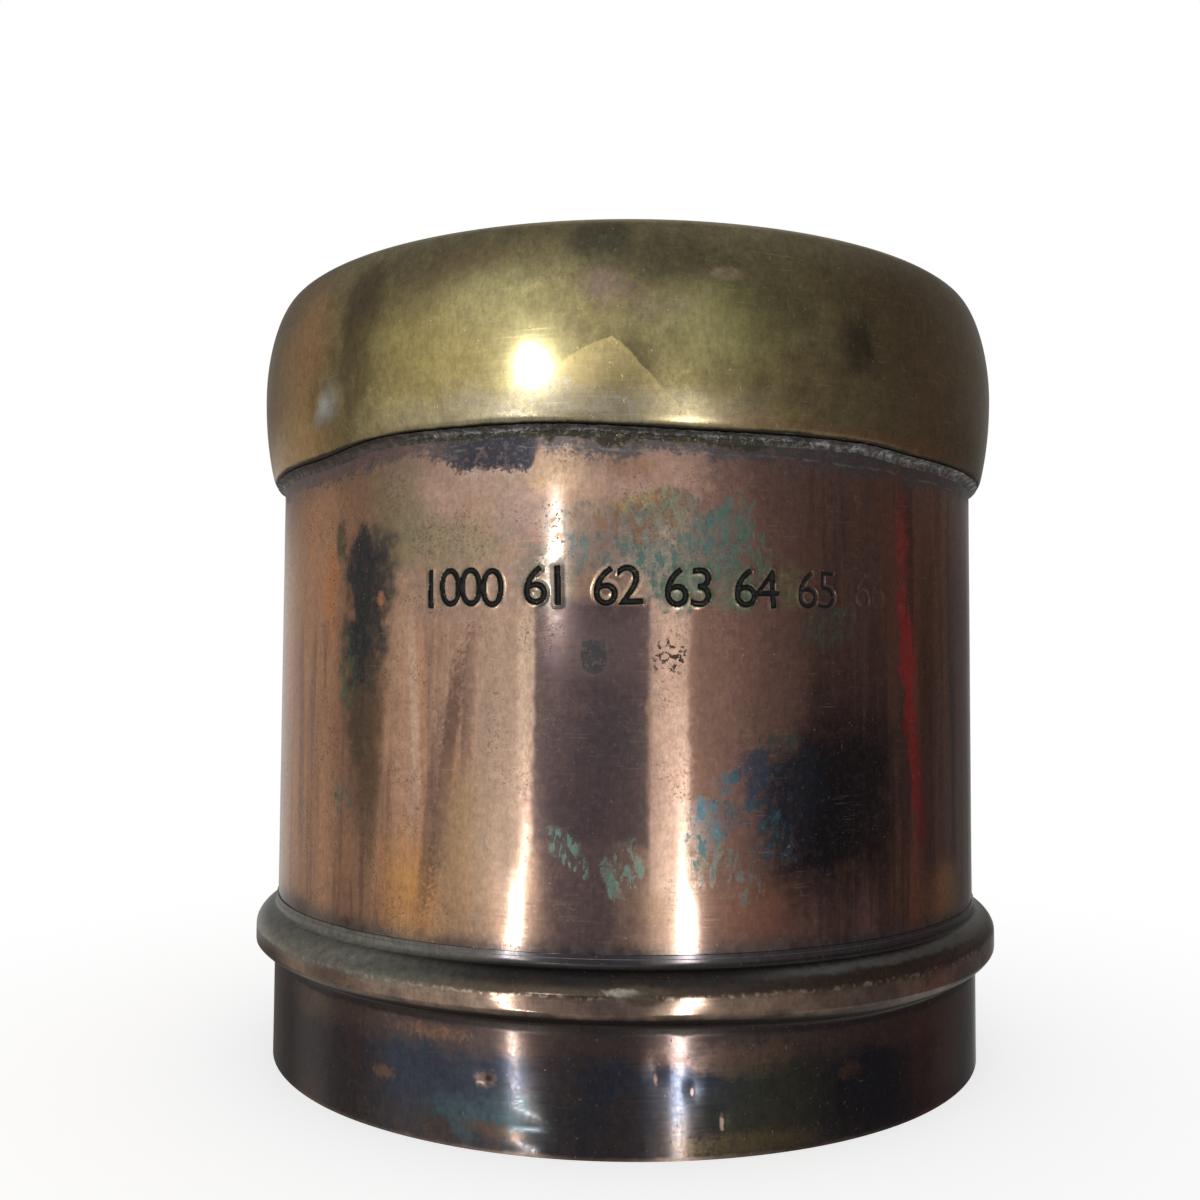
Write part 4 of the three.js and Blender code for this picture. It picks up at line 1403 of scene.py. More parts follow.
@dataclass
class Punches:
    """The plain numbers punched in the wall by hand, one punch at a time.

    Each one tilts and strays a little, up and along, and they get fainter where the wall is worn. A punched
    figure is bevelled inside, and has a raised lip and a dark line round it.
    """

    text: str = "1000 61 62 63 64 65 66"
    height: float = 5.0
    baseline: float = 68.9
    first: float = -26.3
    advance: float = 3.05
    space: float = 2.9
    depth: float = 0.34
    lip: float = 0.07
    beside: float = 3.0
    bevel: float = 0.24
    lip_width: float = 0.28
    dark_width: float = 0.09
    tilt: float = 3.0
    stray: Span = (0.18, 0.12)
    worn_from: float = 19.0
    worn_over: float = 22.0
    faintest: float = 0.25
    spacing: float = 0.05
    seed: int = 7

    def glyph(self, figure: str) -> tuple[BVHTree, kdtree.KDTree]:
        """The flat shape of one figure, for telling inside from outside and the way to its edge.

        Args:
            figure: The number's character.

        Returns:
            A tree of its faces, and a tree of points along its edges.
        """
        curve = bpy.data.curves.new("figure", "FONT")
        curve.body = figure
        holder = placed("figure", curve)
        bpy.context.view_layer.update()
        flat = bpy.data.meshes.new_from_object(holder.evaluated_get(bpy.context.evaluated_depsgraph_get()))
        bpy.data.objects.remove(holder)
        mesh = bmesh.new()
        mesh.from_mesh(flat)
        bmesh.ops.remove_doubles(mesh, verts=mesh.verts, dist=1e-5)
        low = Vector((min(v.co.x for v in mesh.verts), min(v.co.y for v in mesh.verts), 0.0))
        high = Vector((max(v.co.x for v in mesh.verts), max(v.co.y for v in mesh.verts), 0.0))
        size = self.height / (high.y - low.y)
        middle = Vector(((low.x + high.x) / 2, low.y, 0.0))
        for vert in mesh.verts:
            vert.co = (vert.co - middle) * size
            vert.co.z = 0.0
        points = []
        for edge in mesh.edges:
            if len(edge.link_faces) != 1:
                continue
            count = max(1, math.ceil(edge.calc_length() / self.spacing))
            a, b = edge.verts
            points += [a.co.lerp(b.co, i / count) for i in range(count)]
        edges = kdtree.KDTree(len(points))
        for i, place in enumerate(points):
            edges.insert(place, i)
        edges.balance()
        faces = BVHTree.FromBMesh(mesh)
        mesh.free()
        bpy.data.meshes.remove(flat)
        return faces, edges

    def strike(self, mesh: Mesh) -> None:
        """Presses the numbers into the outer face, and keeps how deep each point is as an attribute.

        Args:
            mesh: The wall in millimetres, fine round the numbers.
        """
        layer = mesh.verts.layers.float.new("punched")
        chance = random.Random(self.seed)
        shapes = {figure: self.glyph(figure) for figure in sorted(set(self.text) - {" "})}
        struck = []
        around = self.first
        for figure in self.text:
            if figure == " ":
                around += self.space
                continue
            tilt = math.radians(chance.uniform(-self.tilt, self.tilt))
            up = self.baseline + chance.uniform(-self.stray[0], self.stray[0])
            worn = (around - self.worn_from) / self.worn_over
            force = 1.0 if worn < 0.0 else max(self.faintest, 1.0 - worn)
            struck.append((around, up, tilt, force, shapes[figure]))
            around += self.advance + chance.uniform(-self.stray[1], self.stray[1])
        outer = WALL_RADIUS - 0.5 * WALL_SHEET
        for vert in mesh.verts:
            near = self.baseline - 1.0 < vert.co.z < self.baseline + self.height + 1.2
            if not near or reach(vert.co) < outer:
                continue
            here = bearing(vert.co)
            for at, up, tilt, force, (faces, edges) in struck:
                if abs(here - at) > self.beside:
                    continue
                place = Vector((math.radians(here - at) * WALL_RADIUS, vert.co.z - up, 0.0))
                place.rotate(Matrix.Rotation(tilt, 3, "Z"))
                _, _, gap = edges.find(place)
                hit, _, _, _ = faces.ray_cast(place + Vector((0, 0, 1)), Vector((0, 0, -1)))
                if hit is not None:
                    share = min(1.0, gap / self.bevel)
                    out = -self.depth * force * share * (2 - share)
                    vert[layer] = max(vert[layer], force * (0.35 + 0.65 * share))
                else:
                    out = self.lip * force * math.exp(-((gap / self.lip_width) ** 2))
                    dark = force * 0.5 * math.exp(-((gap / self.dark_width) ** 2))
                    vert[layer] = max(vert[layer], dark)
                vert.co = moved(vert.co, reach(vert.co) + out)


# The sub-assemblies


@dataclass
class Wall:
    """The rolled copper wall and its brazed seam. Its mesh is finer round the numbers."""

    radius: float = WALL_RADIUS
    sheet: float = WALL_SHEET
    row: float = 1.2
    columns: int = 300
    seam: float = 2.0
    seam_proud: float = 0.07
    seam_rows: int = 60
    fine_cuts: int = 7
    numbers_end: float = 46.0
    work: HandWork = HandWork(0.06, 26.0, (
        Dent(-12.0, 26.5, 6.0, 3.5, -0.05), Dent(21.0, 50.0, 7.0, 9.0, 0.05),
    ))
    punches: Punches = field(default_factory=Punches)

    def ends(self) -> Span:
        """The heights of the wall's lower and upper edge, from the CAD wall."""
        low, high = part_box("copper_shell")
        return low.z / METRE, high.z / METRE

    def section(self) -> list[Vector]:
        """The wall's section: fine rows on the outer face, coarse ones inside.

        Returns:
            The section's points as radius and height.
        """
        low, high = self.ends()
        inside = self.radius - self.sheet
        rows = round((high - low) / self.row)
        coarse = rows // 4
        face = [Vector((self.radius, low + (high - low) * i / rows)) for i in range(rows + 1)]
        back = [Vector((inside, high - (high - low) * i / coarse)) for i in range(coarse + 1)]
        return [*face, *back]

    def sheet_mesh(self) -> Mesh:
        """The wall with its numbers struck in.

        Returns:
            The mesh in millimetres.
        """
        half = math.degrees(0.5 * self.seam / self.radius)
        mesh = turned(self.section(), (-180.0 + half, 180.0 - half), self.columns)
        numbers = self.punches
        low, high = numbers.baseline - 1.2, numbers.baseline + numbers.height + 1.4

        def outside(point: Vector) -> bool:
            """Whether a point lies on the outer face."""
            return reach(point) > self.radius - 0.5 * self.sheet

        def near(point: Vector) -> bool:
            """Whether a point of the outer face lies round the numbers."""
            beside = numbers.first - 4.0 < bearing(point) < self.numbers_end
            return outside(point) and low < point.z < high and beside

        def rolled(point: Vector) -> Vector:
            """Puts a point back on its round face, and works it."""
            return self.work(moved(point, self.radius if outside(point) else self.radius - self.sheet))

        edges = [edge for edge in mesh.edges if all(near(v.co) for v in edge.verts)]
        bmesh.ops.subdivide_edges(mesh, edges=edges, cuts=self.fine_cuts, use_grid_fill=True)
        numbers.strike(shaped(mesh, rolled))
        return mesh

    def seam_mesh(self) -> Mesh:
        """The strip of braze, a little proud and wandering like a hand-run joint.

        Returns:
            The mesh in millimetres.
        """
        low, high = self.ends()
        outer, inner = self.radius + self.seam_proud, self.radius - self.sheet - self.seam_proud
        face = [Vector((outer, low + (high - low) * i / self.seam_rows)) for i in range(self.seam_rows + 1)]
        back = [Vector((inner, p.y)) for p in reversed(face)]
        half = math.degrees(0.5 * self.seam / self.radius) + 0.35

        def wander(point: Vector) -> Vector:
            """Waves the strip's sides, and thins them.

            Args:
                point: A point in millimetres.

            Returns:
                Where it goes.
            """
            side = point.x / (0.5 * self.seam)
            wide = 1.0 + 0.35 * noise.noise(Vector((9.0, side, point.z / 2.2)))
            thin = 1.0 - 0.0022 * min(1.0, side * side)
            return self.work(Vector((point.x * wide, point.y * thin, point.z)))

        return shaped(turned([*face, *back], (180.0 - half, 180.0 + half), 8), wander)

    def build(self, copper: Material, spelter: Material) -> list[Piece]:
        """Builds and dresses the wall's two pieces.

        Args:
            copper: The wall's finish.
            spelter: The seam's.

        Returns:
            The pieces.
        """
        wall = finished(self.sheet_mesh(), "rolled_wall", copper, ["copper_shell"])
        seam = finished(self.seam_mesh(), "wall_seam", spelter, ["shell_seam_braze"])
        return [wall, seam]


@dataclass
class MouthBand:
    """The brass mouth band, its solder seam, and the solder fillet under it."""

    lower: float = 90.6
    proud: float = 3.3
    sheet: float = 1.0
    fullest: float = 14.1
    edge_proud: float = 1.65
    turn_height: float = 1.3
    lean: float = 0.23
    barrel_reach: float = 2.3
    barrel_drop: float = 6.1
    crown_rise: float = 7.5
    crown_reach: float = 1.5
    striking_edge: float = 0.6
    fold_radius: float = 0.3
    lip_depth: float = 6.0
    seam: float = 2.0
    seam_at: float = 166.0
    steps: int = 358
    fillet_steps: int = 900
    work: HandWork = HandWork(0.07, 30.0, (
        Dent(-43.8, 97.8, 2.7, 2.5, 0.9), Dent(2.0, 93.6, 9.0, 1.8, 0.05), Dent(-20.0, 112.0, 9.0, 4.0, 0.06),
        Dent(-5.0, 100.0, 5.5, 8.0, 0.14),
    ), MOUTH_RISES)

    def profile(self) -> Profile:
        """The band's face, from its lower edge over the barrel and the crown to the lip inside.

        Returns:
            The profile.
        """
        full = (self.sheet, self.sheet)
        fullest = Vector((WALL_RADIUS + self.proud, self.lower + self.fullest))
        edge = Vector((WALL_RADIUS + JOINT_GAP, self.lower))
        corner = Vector((WALL_RADIUS + self.edge_proud, self.lower))
        start = edge.lerp(corner, 0.5)
        end = Vector((corner.x + self.turn_height * self.lean, self.lower + self.turn_height))
        lip = WALL_RADIUS - WALL_SHEET - JOINT_GAP - self.sheet
        roll = self.sheet + self.fold_radius
        centre = Vector((lip + roll, TOTAL_HEIGHT - roll))
        flat_in = Vector((centre.x, TOTAL_HEIGHT))
        flat_out = Vector((centre.x + self.striking_edge, TOTAL_HEIGHT))
        drawn = Profile()
        drawn.line(edge, start, 0.4, full)
        drawn.bezier((start, start.lerp(corner, 2 / 3), end.lerp(corner, 2 / 3), end), 5, full)
        low_handle = Vector((end.x + self.barrel_reach * self.lean, end.y + self.barrel_reach))
        drawn.bezier((end, low_handle, Vector((fullest.x, fullest.y - self.barrel_drop)), fullest), 16, full)
        high_handle = Vector((fullest.x, fullest.y + self.crown_rise))
        top_handle = Vector((flat_out.x + self.crown_reach, TOTAL_HEIGHT))
        drawn.bezier((fullest, high_handle, top_handle, flat_out), 24, full)
        drawn.line(flat_out, flat_in, 0.6, full)
        drawn.arc(centre, roll, (0.5 * math.pi, math.pi), 0.3, full)
        drawn.line(Vector((lip, centre.y)), Vector((lip, TOTAL_HEIGHT - self.lip_depth)), 1.2, full)
        return drawn

    def fillet_mesh(self) -> Mesh:
        """The solder under the band: a narrow hollow fillet, gritty in front.

        Returns:
            The mesh in millimetres.
        """
        low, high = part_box("collar_solder")
        edge = high.x / METRE - 0.25
        top, bottom = high.z / METRE + 0.3, low.z / METRE + 0.1
        face_radius = WALL_RADIUS - 0.1
        corner, inner = Vector((face_radius, top)), Vector((face_radius, bottom))
        hollow, outer = Vector((WALL_RADIUS + 0.25, top - 0.55)), Vector((edge, top - 0.2))
        face = interpolate_bezier(inner, hollow, hollow, outer, 12)
        lift = HandWork(0.0, 1.0, (), MOUTH_RISES)

        def grit(point: Vector) -> Vector:
            """Swells and pits the fillet, less beyond its crusted stretch.

            Args:
                point: A point in millimetres.

            Returns:
                Where it goes.
            """
            rough = 1.0 if -30.0 < bearing(point) < 34.0 else 0.3
            radius = reach(point)
            if radius > WALL_RADIUS + 0.02:
                swell = 0.13 * rough * noise.noise(point / 0.9) + 0.09 * rough * noise.noise(point / 0.4)
                point = moved(point, radius + swell)
                point.z = min(top, point.z + 0.4 * swell)
            return lift(point)

        return shaped(turned([corner, *face], None, self.fillet_steps), grit)

    def build(self, brass: Material, solder: Material, crusted: Material) -> list[Piece]:
        """Builds and dresses the band, its seam and its fillet.

        Args:
            brass: The band's finish.
            solder: The seam's.
            crusted: The fillet's.

        Returns:
            The pieces.
        """
        outline = self.profile().outline(3)
        mesh, strip = jointed(outline, self.seam_at, self.seam, self.steps, self.work)
        band = finished(mesh, "mouth_band", brass, ["brass_collar"])
        seam = finished(strip, "mouth_band_seam", solder, ["collar_seam_solder"])
        fillet = finished(self.fillet_mesh(), "mouth_band_solder", crusted, ["collar_solder"])
        return [band, seam, fillet]


@dataclass
class FootBand:
    """The foot band with its swaged bead, its brazed seam, and the solder on its upper edge."""

    proud: float = 0.4
    sheet: float = 1.0
    bead_height: float = 19.6
    bead_proud: float = 3.1
    bead_radius: float = 4.0
    groove: float = 0.7
    fillet: float = 0.6
    lip_sheet: float = 0.2
    lip_height: float = 1.1
    feather: float = 0.6
    worn: float = 0.2
    fuller: float = 0.16
    blend: float = 0.05
    seam: float = 2.0
    seam_at: float = 190.0
    steps: int = 450
    line_steps: int = 720
    bead_steps: int = 48
    bead_fullest: float = -0.42
    work: HandWork = HandWork(0.06, 22.0, (
        Dent(1.8, 20.9, 2.2, 0.9, 0.34), Dent(-17.7, 8.9, 0.8, 0.8, 0.16), Dent(4.1, 10.5, 0.6, 1.0, 0.12),
        Dent(12.2, 4.7, 0.6, 1.1, 0.14), Dent(-11.0, 3.0, 2.6, 0.8, 0.08), Dent(8.8, 8.2, 0.5, 0.8, 0.12),
        Dent(-30.0, 12.0, 4.0, 3.0, 0.06), Dent(30.0, 7.0, 5.0, 4.0, 0.06), Dent(-1.0, 12.4, 0.6, 0.8, 0.1),
        Dent(18.0, 14.0, 0.6, 0.6, 0.1),
    ), FOOT_RISES)

    def profile(self) -> Profile:
        """The band's face: skirt, groove, bead, shoulder, and the thin upper edge.

        Returns:
            The profile.
        """
        skirt = WALL_RADIUS + self.proud
        lip = WALL_RADIUS + self.lip_sheet
        centre = Vector((skirt + self.bead_proud - self.bead_radius, self.bead_height))

        def fillet_centre(radius: float, fillet: float, side: int) -> Vector:
            """The centre of a fillet between the bead and an upright line.

            Args:
                radius: The line's radius.
                fillet: The fillet's.
                side: 1 above the bead, -1 below it.

            Returns:
                The centre.
            """
            across = radius + fillet - centre.x
            apart = self.bead_radius + fillet
            return Vector((radius + fillet, centre.y + side * math.sqrt(apart * apart - across * across)))

        groove = fillet_centre(skirt, self.groove, -1)
        shoulder = fillet_centre(lip, self.fillet, 1)
        low = math.atan2(groove.y - centre.y, groove.x - centre.x)
        high = math.atan2(shoulder.y - centre.y, shoulder.x - centre.x)
        full, thin = (self.sheet, self.sheet), (self.lip_sheet, self.lip_sheet)
        drawn = Profile()
        drawn.line(Vector((skirt, 0.0)), Vector((skirt, groove.y)), 0.9, full)
        drawn.arc(groove, self.groove, (math.pi, low + math.pi), 0.25, full)
        drawn.leg(self.bead_face(centre, low, high), full)
        drawn.arc(shoulder, self.fillet, (high + math.pi, math.pi), 0.3, (self.sheet, self.lip_sheet))
        drawn.line(Vector((lip, shoulder.y)), Vector((lip, shoulder.y + self.lip_height)), 0.25, thin)
        return drawn

    def bead_face(self, centre: Vector, low: float, high: float) -> list[Vector]:
        """The bead's round between two angles, a little fuller below and worn flat along its crest.

        Args:
            centre: The bead's centre.
            low: The first angle.
            high: The last one.

        Returns:
            The points.
        """
        flat = self.bead_radius - self.worn
        points = []
        for i in range(self.bead_steps + 1):
            turn = low + (high - low) * i / self.bead_steps
            more = self.fuller * min(1.0, (turn - low) / (self.bead_fullest - low)) if turn < 0.0 else 0.0
            place = (self.bead_radius + more) * Vector((math.cos(turn), math.sin(turn)))
            soft = 0.5 * (place.x + flat - math.hypot(place.x - flat, 2.0 * self.blend))
            points.append(centre + Vector((soft, place.y)))
        return points

    def feather_mesh(self) -> Mesh:
        """The solder on the band's upper edge, wiped up the wall to a feather edge.

        Returns:
            The mesh in millimetres.
        """
        low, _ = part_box("foot_solder")
        foot = low.z / METRE - 0.7
        face_radius = WALL_RADIUS - 0.1
        edge = WALL_RADIUS + self.lip_sheet + 0.04
        outer, top = Vector((edge, foot)), Vector((face_radius + 0.03, foot + self.feather))
        hollow = outer.lerp(top, 0.5)
        face = interpolate_bezier(outer, hollow, hollow, top, 9)

        def wiped(point: Vector) -> Vector:
            """Lets the feather edge wander, and works the line with the band."""
            up = 0.1 * noise.noise(point / 7.0) if point.z > foot + 0.3 else 0.0
            return self.work(Vector((point.x, point.y, point.z + up)))

        return shaped(turned([Vector((face_radius, foot)), *face], None, self.line_steps), wiped)

    def build(self, copper: Material, spelter: Material, solder: Material) -> list[Piece]:
        """Builds and dresses the band, its seam and the solder line on it.

        Args:
            copper: The band's finish.
            spelter: The seam's.
            solder: The line's.

        Returns:
            The pieces.
        """
        outline = self.profile().outline(3)
        mesh, strip = jointed(outline, self.seam_at, self.seam, self.steps, self.work)
        band = finished(mesh, "foot_band_dressed", copper, ["foot_band"])
        seam = finished(strip, "foot_seam", spelter, ["foot_seam_braze"])
        line = finished(self.feather_mesh(), "foot_solder_line", solder, ["foot_solder"])
        return [band, seam, line]


@dataclass
class Bottom:
    """The dished bottom plate and the solder under it."""

    sheet: float = 1.2
    flange: float = 6.0
    bend: float = 2.0
    rise: float = 1.2
    steps: int = 180
    run_width: float = 3.2
    run_steps: int = 300

    def section(self) -> list[Vector]:
        """The plate's section from its centre below, out to the flange, and back to its centre above.

        Returns:
            The section's points as radius and height.
        """
        low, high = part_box("bottom_plate")
        outer = WALL_RADIUS - WALL_SHEET - JOINT_GAP
        top = high.z / METRE
        base = top - self.flange
        flat = outer - self.bend
        rows = [i / 20 for i in range(21)]
        dish = [Vector((flat * s, base + self.rise * math.cos(0.5 * math.pi * s) ** 2)) for s in rows]
        angles = [0.5 * math.pi * (i / 6 - 1) for i in range(7)]
        centre = Vector((flat, base + self.bend))
        inner = self.bend - self.sheet
        bend = [centre + self.bend * Vector((math.cos(a), math.sin(a))) for a in angles]
        inside = [centre + inner * Vector((math.cos(a), math.sin(a))) for a in reversed(angles)]
        above = [Vector((p.x, p.y + self.sheet)) for p in reversed(dish[:-1])]
        return [*dish, *bend[1:], Vector((outer, top)), Vector((outer - self.sheet, top)), *inside, *above]

    def plate_mesh(self) -> Mesh:
        """The plate: a section with both ends on the axis, turned and closed there.

        Returns:
            The mesh in millimetres.
        """
        mesh = bmesh.new()
        verts = [mesh.verts.new((0.0, -p.x, p.y)) for p in self.section()]
        edges = [mesh.edges.new((verts[i - 1], verts[i])) for i in range(1, len(verts))]
        spin(mesh, [*verts, *edges], math.tau, self.steps)
        bmesh.ops.remove_doubles(mesh, verts=mesh.verts, dist=SAME_PLACE)
        bmesh.ops.recalc_face_normals(mesh, faces=mesh.faces)
        return mesh

    def build(self, copper: Material, solder: Material) -> list[Piece]:
        """Builds and dresses the plate and its solder.

        Args:
            copper: The plate's finish.
            solder: The solder's.

        Returns:
            The pieces.
        """
        plate = finished(self.plate_mesh(), "dished_bottom", copper, ["bottom_plate"])
        low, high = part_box("bottom_solder")
        top, bottom = high.z / METRE + 0.2, low.z / METRE
        outer = high.x / METRE + 0.2
        corner, down = Vector((outer, top)), Vector((outer, bottom))
        inner = Vector((outer - self.run_width, top))
        hollow = corner.lerp(down.lerp(inner, 0.5), 0.45)
        face = interpolate_bezier(inner, inner.lerp(hollow, 0.6), down.lerp(hollow, 0.6), down, 7)
        mesh = turned([corner, *face], None, self.run_steps)
        for vert in mesh.verts:
            vert.co.z += 0.18 * noise.noise(vert.co / 3.0) if vert.co.z < top - 0.2 else 0.0
        fillet = finished(mesh, "bottom_solder_run", solder, ["bottom_solder"])
        return [plate, fillet]


# The studio


# What the metal mirrors, by degrees round from the front: near eye level, and higher up
LOW_ROOM: tuple[Stop, ...] = (
    (-180, (0.38, 0.38, 0.39)), (-150, (0.58, 0.57, 0.56)), (-128, (0.44, 0.41, 0.38)),
    (-108, (0.46, 0.42, 0.38)), (-97, (0.28, 0.25, 0.24)), (-86, (0.34, 0.31, 0.29)),
    (-70, (0.66, 0.63, 0.6)), (-56, (0.64, 0.6, 0.56)), (-44, (0.82, 0.78, 0.73)), (-35, (0.9, 0.86, 0.8)),
    (-28, (1.0, 0.95, 0.9)), (-26.6, (0.42, 0.4, 0.41)), (-12, (0.26, 0.25, 0.27)), (2, (0.26, 0.25, 0.27)),
    (6.5, (0.34, 0.32, 0.33)), (8.6, (0.8, 0.76, 0.72)), (14, (1.1, 1.04, 0.97)), (18.5, (0.86, 0.81, 0.76)),
    (21, (0.4, 0.37, 0.36)), (34, (0.38, 0.355, 0.35)), (44, (0.28, 0.26, 0.25)), (54, (0.22, 0.2, 0.2)),
    (70, (0.18, 0.165, 0.165)), (97, (0.12, 0.1, 0.1)), (103, (0.17, 0.1, 0.09)), (109, (0.12, 0.09, 0.085)),
    (132, (0.1, 0.095, 0.095)), (148, (0.13, 0.125, 0.12)), (164, (0.42, 0.41, 0.4)),
    (180, (0.38, 0.38, 0.39)),
)
HIGH_ROOM: tuple[Stop, ...] = (
    (-180, (0.3, 0.3, 0.3)), (-140, (0.17, 0.165, 0.16)), (-110, (0.4, 0.36, 0.32)),
    (-91, (0.25, 0.23, 0.22)), (-77, (0.38, 0.37, 0.35)), (-60, (0.54, 0.52, 0.49)), (-46, (0.74, 0.73, 0.7)),
    (-32, (0.94, 0.93, 0.9)), (-20, (0.94, 0.93, 0.9)), (-8, (0.76, 0.75, 0.73)), (4, (0.62, 0.61, 0.6)),
    (16, (0.6, 0.59, 0.58)), (28, (0.42, 0.41, 0.4)), (40, (0.27, 0.26, 0.25)), (56, (0.19, 0.18, 0.18)),
    (76, (0.14, 0.13, 0.125)), (98, (0.15, 0.12, 0.11)), (118, (0.15, 0.13, 0.12)), (140, (0.17, 0.16, 0.15)),
    (162, (0.34, 0.33, 0.31)), (180, (0.3, 0.3, 0.3)),
)


@dataclass(frozen=True)
class Strip:
    """A soft strip light: its place round the cup, its size, strength and lean, and what it alone lights."""

    name: str
    around: float
    low: float
    high: float
    width: float
    strength: float
    lean: float = 0.0
    only: str = ""


@dataclass
class Studio:
    """The camera, the soft light and the pale floor."""

    lens: float = 35.82
    shift: float = 0.0148
    eye: tuple[float, float, float] = (0.0, -208.5, 60.2)
    pitch: float = 0.047
    yaw: float = -0.0205
    roll: float = 0.006
    floor_size: float = 6.0
    strips: tuple[Strip, ...] = (
        Strip("flash", -24.4, 48.0, 192.0, 62.0, 20.0, only="mouth_band"),
        Strip("streak", -19.6, 100.0, 160.0, 4.5, 100.0),
        Strip("low_left", -31.7, -126.0, -68.0, 38.0, 17.0, lean=-32.0),
        Strip("left_tip", -28.9, -84.0, -14.0, 11.0, 10.0, lean=-20.0),
        Strip("low_right", 18.4, -126.0, -78.0, 48.0, 19.0, lean=-10.0),
        Strip("right_tip", 17.0, -78.0, 6.0, 8.0, 9.0),
        Strip("foot_left", -30.8, -164.0, -126.0, 26.0, 13.0),
        Strip("foot_tail", -27.8, -246.0, -150.0, 5.0, 60.0, lean=58.0),
        Strip("foot_right", 16.0, -228.0, -128.0, 34.0, 19.0),
    )

    def camera(self) -> Piece:
        """Sets the camera where the photograph was taken from.

        Returns:
            The camera.
        """
        level = math.cos(self.pitch)
        ahead = Vector((math.sin(self.yaw) * level, math.cos(self.yaw) * level, math.sin(self.pitch)))
        right = Vector((math.cos(self.yaw), -math.sin(self.yaw), 0.0))
        up = right.cross(ahead)
        across = right * math.cos(self.roll) + up * math.sin(self.roll)
        above = up * math.cos(self.roll) - right * math.sin(self.roll)
        data = bpy.data.cameras.new("camera")
        data.lens = self.lens
        data.sensor_width = 36.0
        data.shift_y = self.shift
        data.clip_start = 0.01
        data.clip_end = 50.0
        camera = placed("camera", data)
        turn = Matrix((across, above, -ahead)).transposed().to_4x4()
        camera.matrix_world = Matrix.Translation(Vector(self.eye) * METRE) @ turn
        bpy.context.scene.camera = camera
        return camera

    def strip(self, strip: Strip) -> Piece:
        """Sets up one strip light, facing the cup.

        Args:
            strip: What the light is like.

        Returns:
            The light.
        """
        data = bpy.data.lights.new(strip.name, "AREA")
        data.shape = "ELLIPSE" if strip.only else "RECTANGLE"
        data.size = strip.width * METRE
        data.size_y = (strip.high - strip.low) * METRE
        data.energy = strip.strength * (data.size * data.size_y) * math.pi
        data.color = STRIP_COLOR
        turn = math.radians(strip.around)
        middle = 0.5 * (strip.high + strip.low)
        place = Vector((math.sin(turn) * STRIP_DISTANCE, -math.cos(turn) * STRIP_DISTANCE, middle)) * METRE
        light = placed(strip.name, data)
        inward = Vector((-place.x, -place.y, 0.0))
        facing = inward.to_track_quat("-Z", "Y").to_matrix().to_4x4()
        tilt = Matrix.Rotation(math.radians(strip.lean), 4, "Z")
        light.matrix_world = Matrix.Translation(place) @ facing @ tilt
        if strip.only:
            lit = bpy.data.collections.new(f"lit_by_{strip.name}")
            lit.objects.link(bpy.data.objects[strip.only])
            light.light_linking.receiver_collection = lit
        light.visible_camera = False
        light.visible_diffuse = False
        return light

    def floor(self) -> Piece:
        """Lays the pale floor.

        Returns:
            The floor.
        """
        mesh = bmesh.new()
        bmesh.ops.create_circle(mesh, cap_ends=True, segments=64, radius=0.5 * self.floor_size)
        data = bpy.data.meshes.new("floor")
        mesh.to_mesh(data)
        mesh.free()
        material = bpy.data.materials.new("pale_floor")
        bench = emptied(material)
        material.cycles.emission_sampling = "NONE"
        shader = bench.put("ShaderNodeBsdfPrincipled", {
            "Base Color": (0.8, 0.8, 0.8), "Roughness": 0.9, "Emission Color": (1.0, 1.0, 1.0),
            "Emission Strength": 0.62, "Specular IOR Level": 0.0,
        })
        bench.put("ShaderNodeOutputMaterial", {"Surface": shader.outputs[0]})
        data.materials.append(material)
        floor = placed("floor", data)
        floor.visible_glossy = False
        floor.visible_shadow = False
        return floor

    def room(self) -> bpy.types.World:
        """Surrounds the cup: white behind it, and the dim room with soft windows that it mirrors.

        Returns:
            The world.
        """
        world = bpy.data.worlds.new("room")
        bench = emptied(world)
        world.cycles.sampling_method = "NONE"
        ray = bench.put("ShaderNodeTexCoord").outputs["Generated"]
        apart = bench.put("ShaderNodeSeparateXYZ", {"Vector": ray}).outputs
        angle = bench.math(Op.ARCTAN2, apart[0], bench.times(apart[1], -1))
        share = bench.scaled(angle, 1 / math.tau, 0.5)
        rise = bench.times(bench.math(Op.ARCSINE, apart[2]), 180 / math.pi)
        rows = ([(at / 360 + 0.5, color) for at, color in row] for row in (LOW_ROOM, HIGH_ROOM))
        low, high = (bench.ramp(share, row) for row in rows)
        color = bench.mix(bench.step(rise, 3, 10), low, high)
        behind = bench.times(bench.step(rise, -9, -13), bench.step(angle, -1.9, -2.3))
        ceiling, ground = bench.step(rise, 30, 60), bench.step(rise, -23, -36)
        for mask, over in (
            (behind, (0.12, 0.11, 0.1)), (ceiling, (0.34, 0.34, 0.36)), (ground, (0.4, 0.385, 0.36)),
        ):
            color = bench.mix(mask, color, over)
        shader = bench.put("ShaderNodeBackground", {"Color": color, "Strength": 1}).outputs[0]
        path = bench.put("ShaderNodeLightPath").outputs
        for kind, strength in (("Is Diffuse Ray", 0.5), ("Is Camera Ray", 1)):
            white = bench.put("ShaderNodeBackground", {"Color": (1, 1, 1), "Strength": strength})
            feeds = {"Fac": path[kind], "Shader": shader, "Shader_001": white.outputs[0]}
            shader = bench.put("ShaderNodeMixShader", feeds).outputs[0]
        bench.put("ShaderNodeOutputWorld", {"Surface": shader})
        bpy.context.scene.world = world
        return world

    def build(self) -> None:
        """Sets up everything round the cup."""
        self.camera()
        self.floor()
        self.room()
        for strip in self.strips:
            self.strip(strip)
        bpy.context.scene.view_settings.view_transform = "Standard"


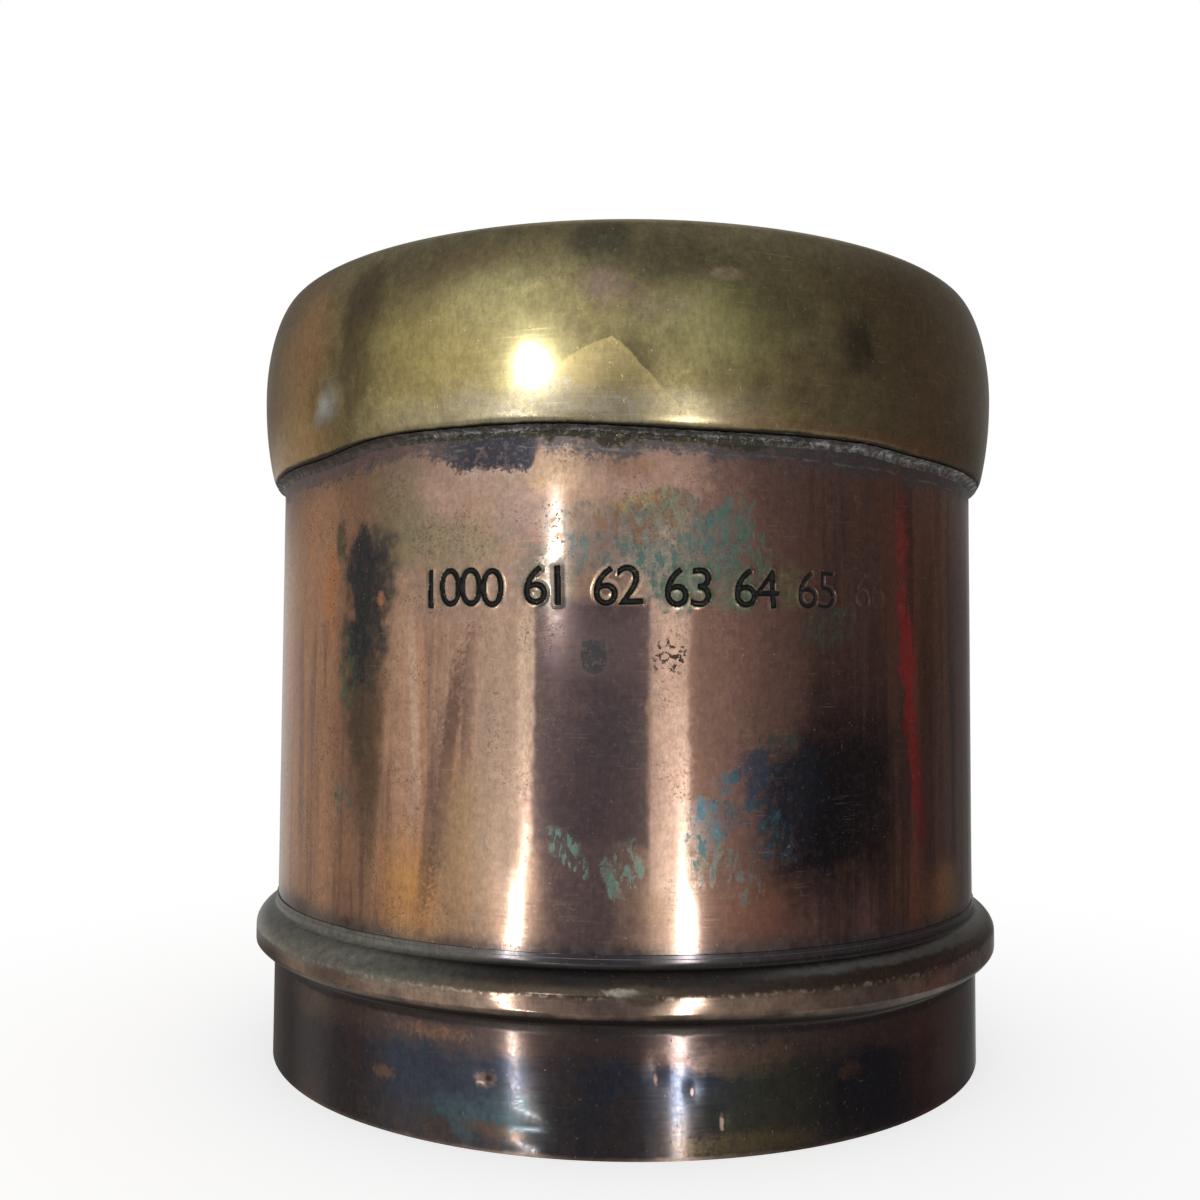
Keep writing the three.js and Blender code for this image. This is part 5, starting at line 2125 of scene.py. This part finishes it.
def main() -> None:
    """Builds the cup's sub-assemblies in order, reports each piece, and sets up the studio."""
    logging.basicConfig(level=logging.INFO, format="%(name)s: %(message)s")
    effects = Effects()
    spelter = SeamSpelter("seam_spelter", effects, (0.5, 0.38, 0.17), rough=0.36, line_depth=0.002)
    plain = GreySolder("plain_solder", effects, (0.38, 0.38, 0.36), 0.4, line_depth=0.001, pitted=0.04)
    crusty = CrustedSolder("collar_solder", effects, (0.6, 0.61, 0.62), rough=0.3, line_depth=0.001)
    dim, darker = (0.26, 0.26, 0.25), (0.15, 0.145, 0.145)
    wiped = WipedSolder("foot_solder", effects, dim, rough=0.28, line_depth=0.002, dark=darker)
    wall = WallCopper("wall_copper", effects, (0.62, 0.41, 0.28), rough=0.14, line_depth=0.0014)
    mouth = MouthBrass("collar_brass", effects, (0.57, 0.47, 0.21), rough=0.22, line_depth=0.002)
    foot = FootCopper("foot_copper", effects, (0.055, 0.057, 0.066), 0.12, line_depth=0.0006, worn=0.03)
    bottom = BottomCopper("bottom_copper", effects, (0.58, 0.45, 0.35), 0.42, 0.72, flat=True)
    copper, seam_metal, plain_metal = wall.make(), spelter.make(), plain.make()
    pieces = Wall().build(copper, seam_metal)
    pieces += MouthBand().build(mouth.make(), plain_metal, crusty.make())
    pieces += FootBand().build(foot.make(), seam_metal, wiped.make())
    pieces += Bottom().build(bottom.make(), plain_metal)
    for piece in pieces:
        piece.data.calc_loop_triangles()
        LOG.info("%s: %d triangles", piece.name, len(piece.data.loop_triangles))
    Studio().build()


if __name__ == "__main__":
    main()
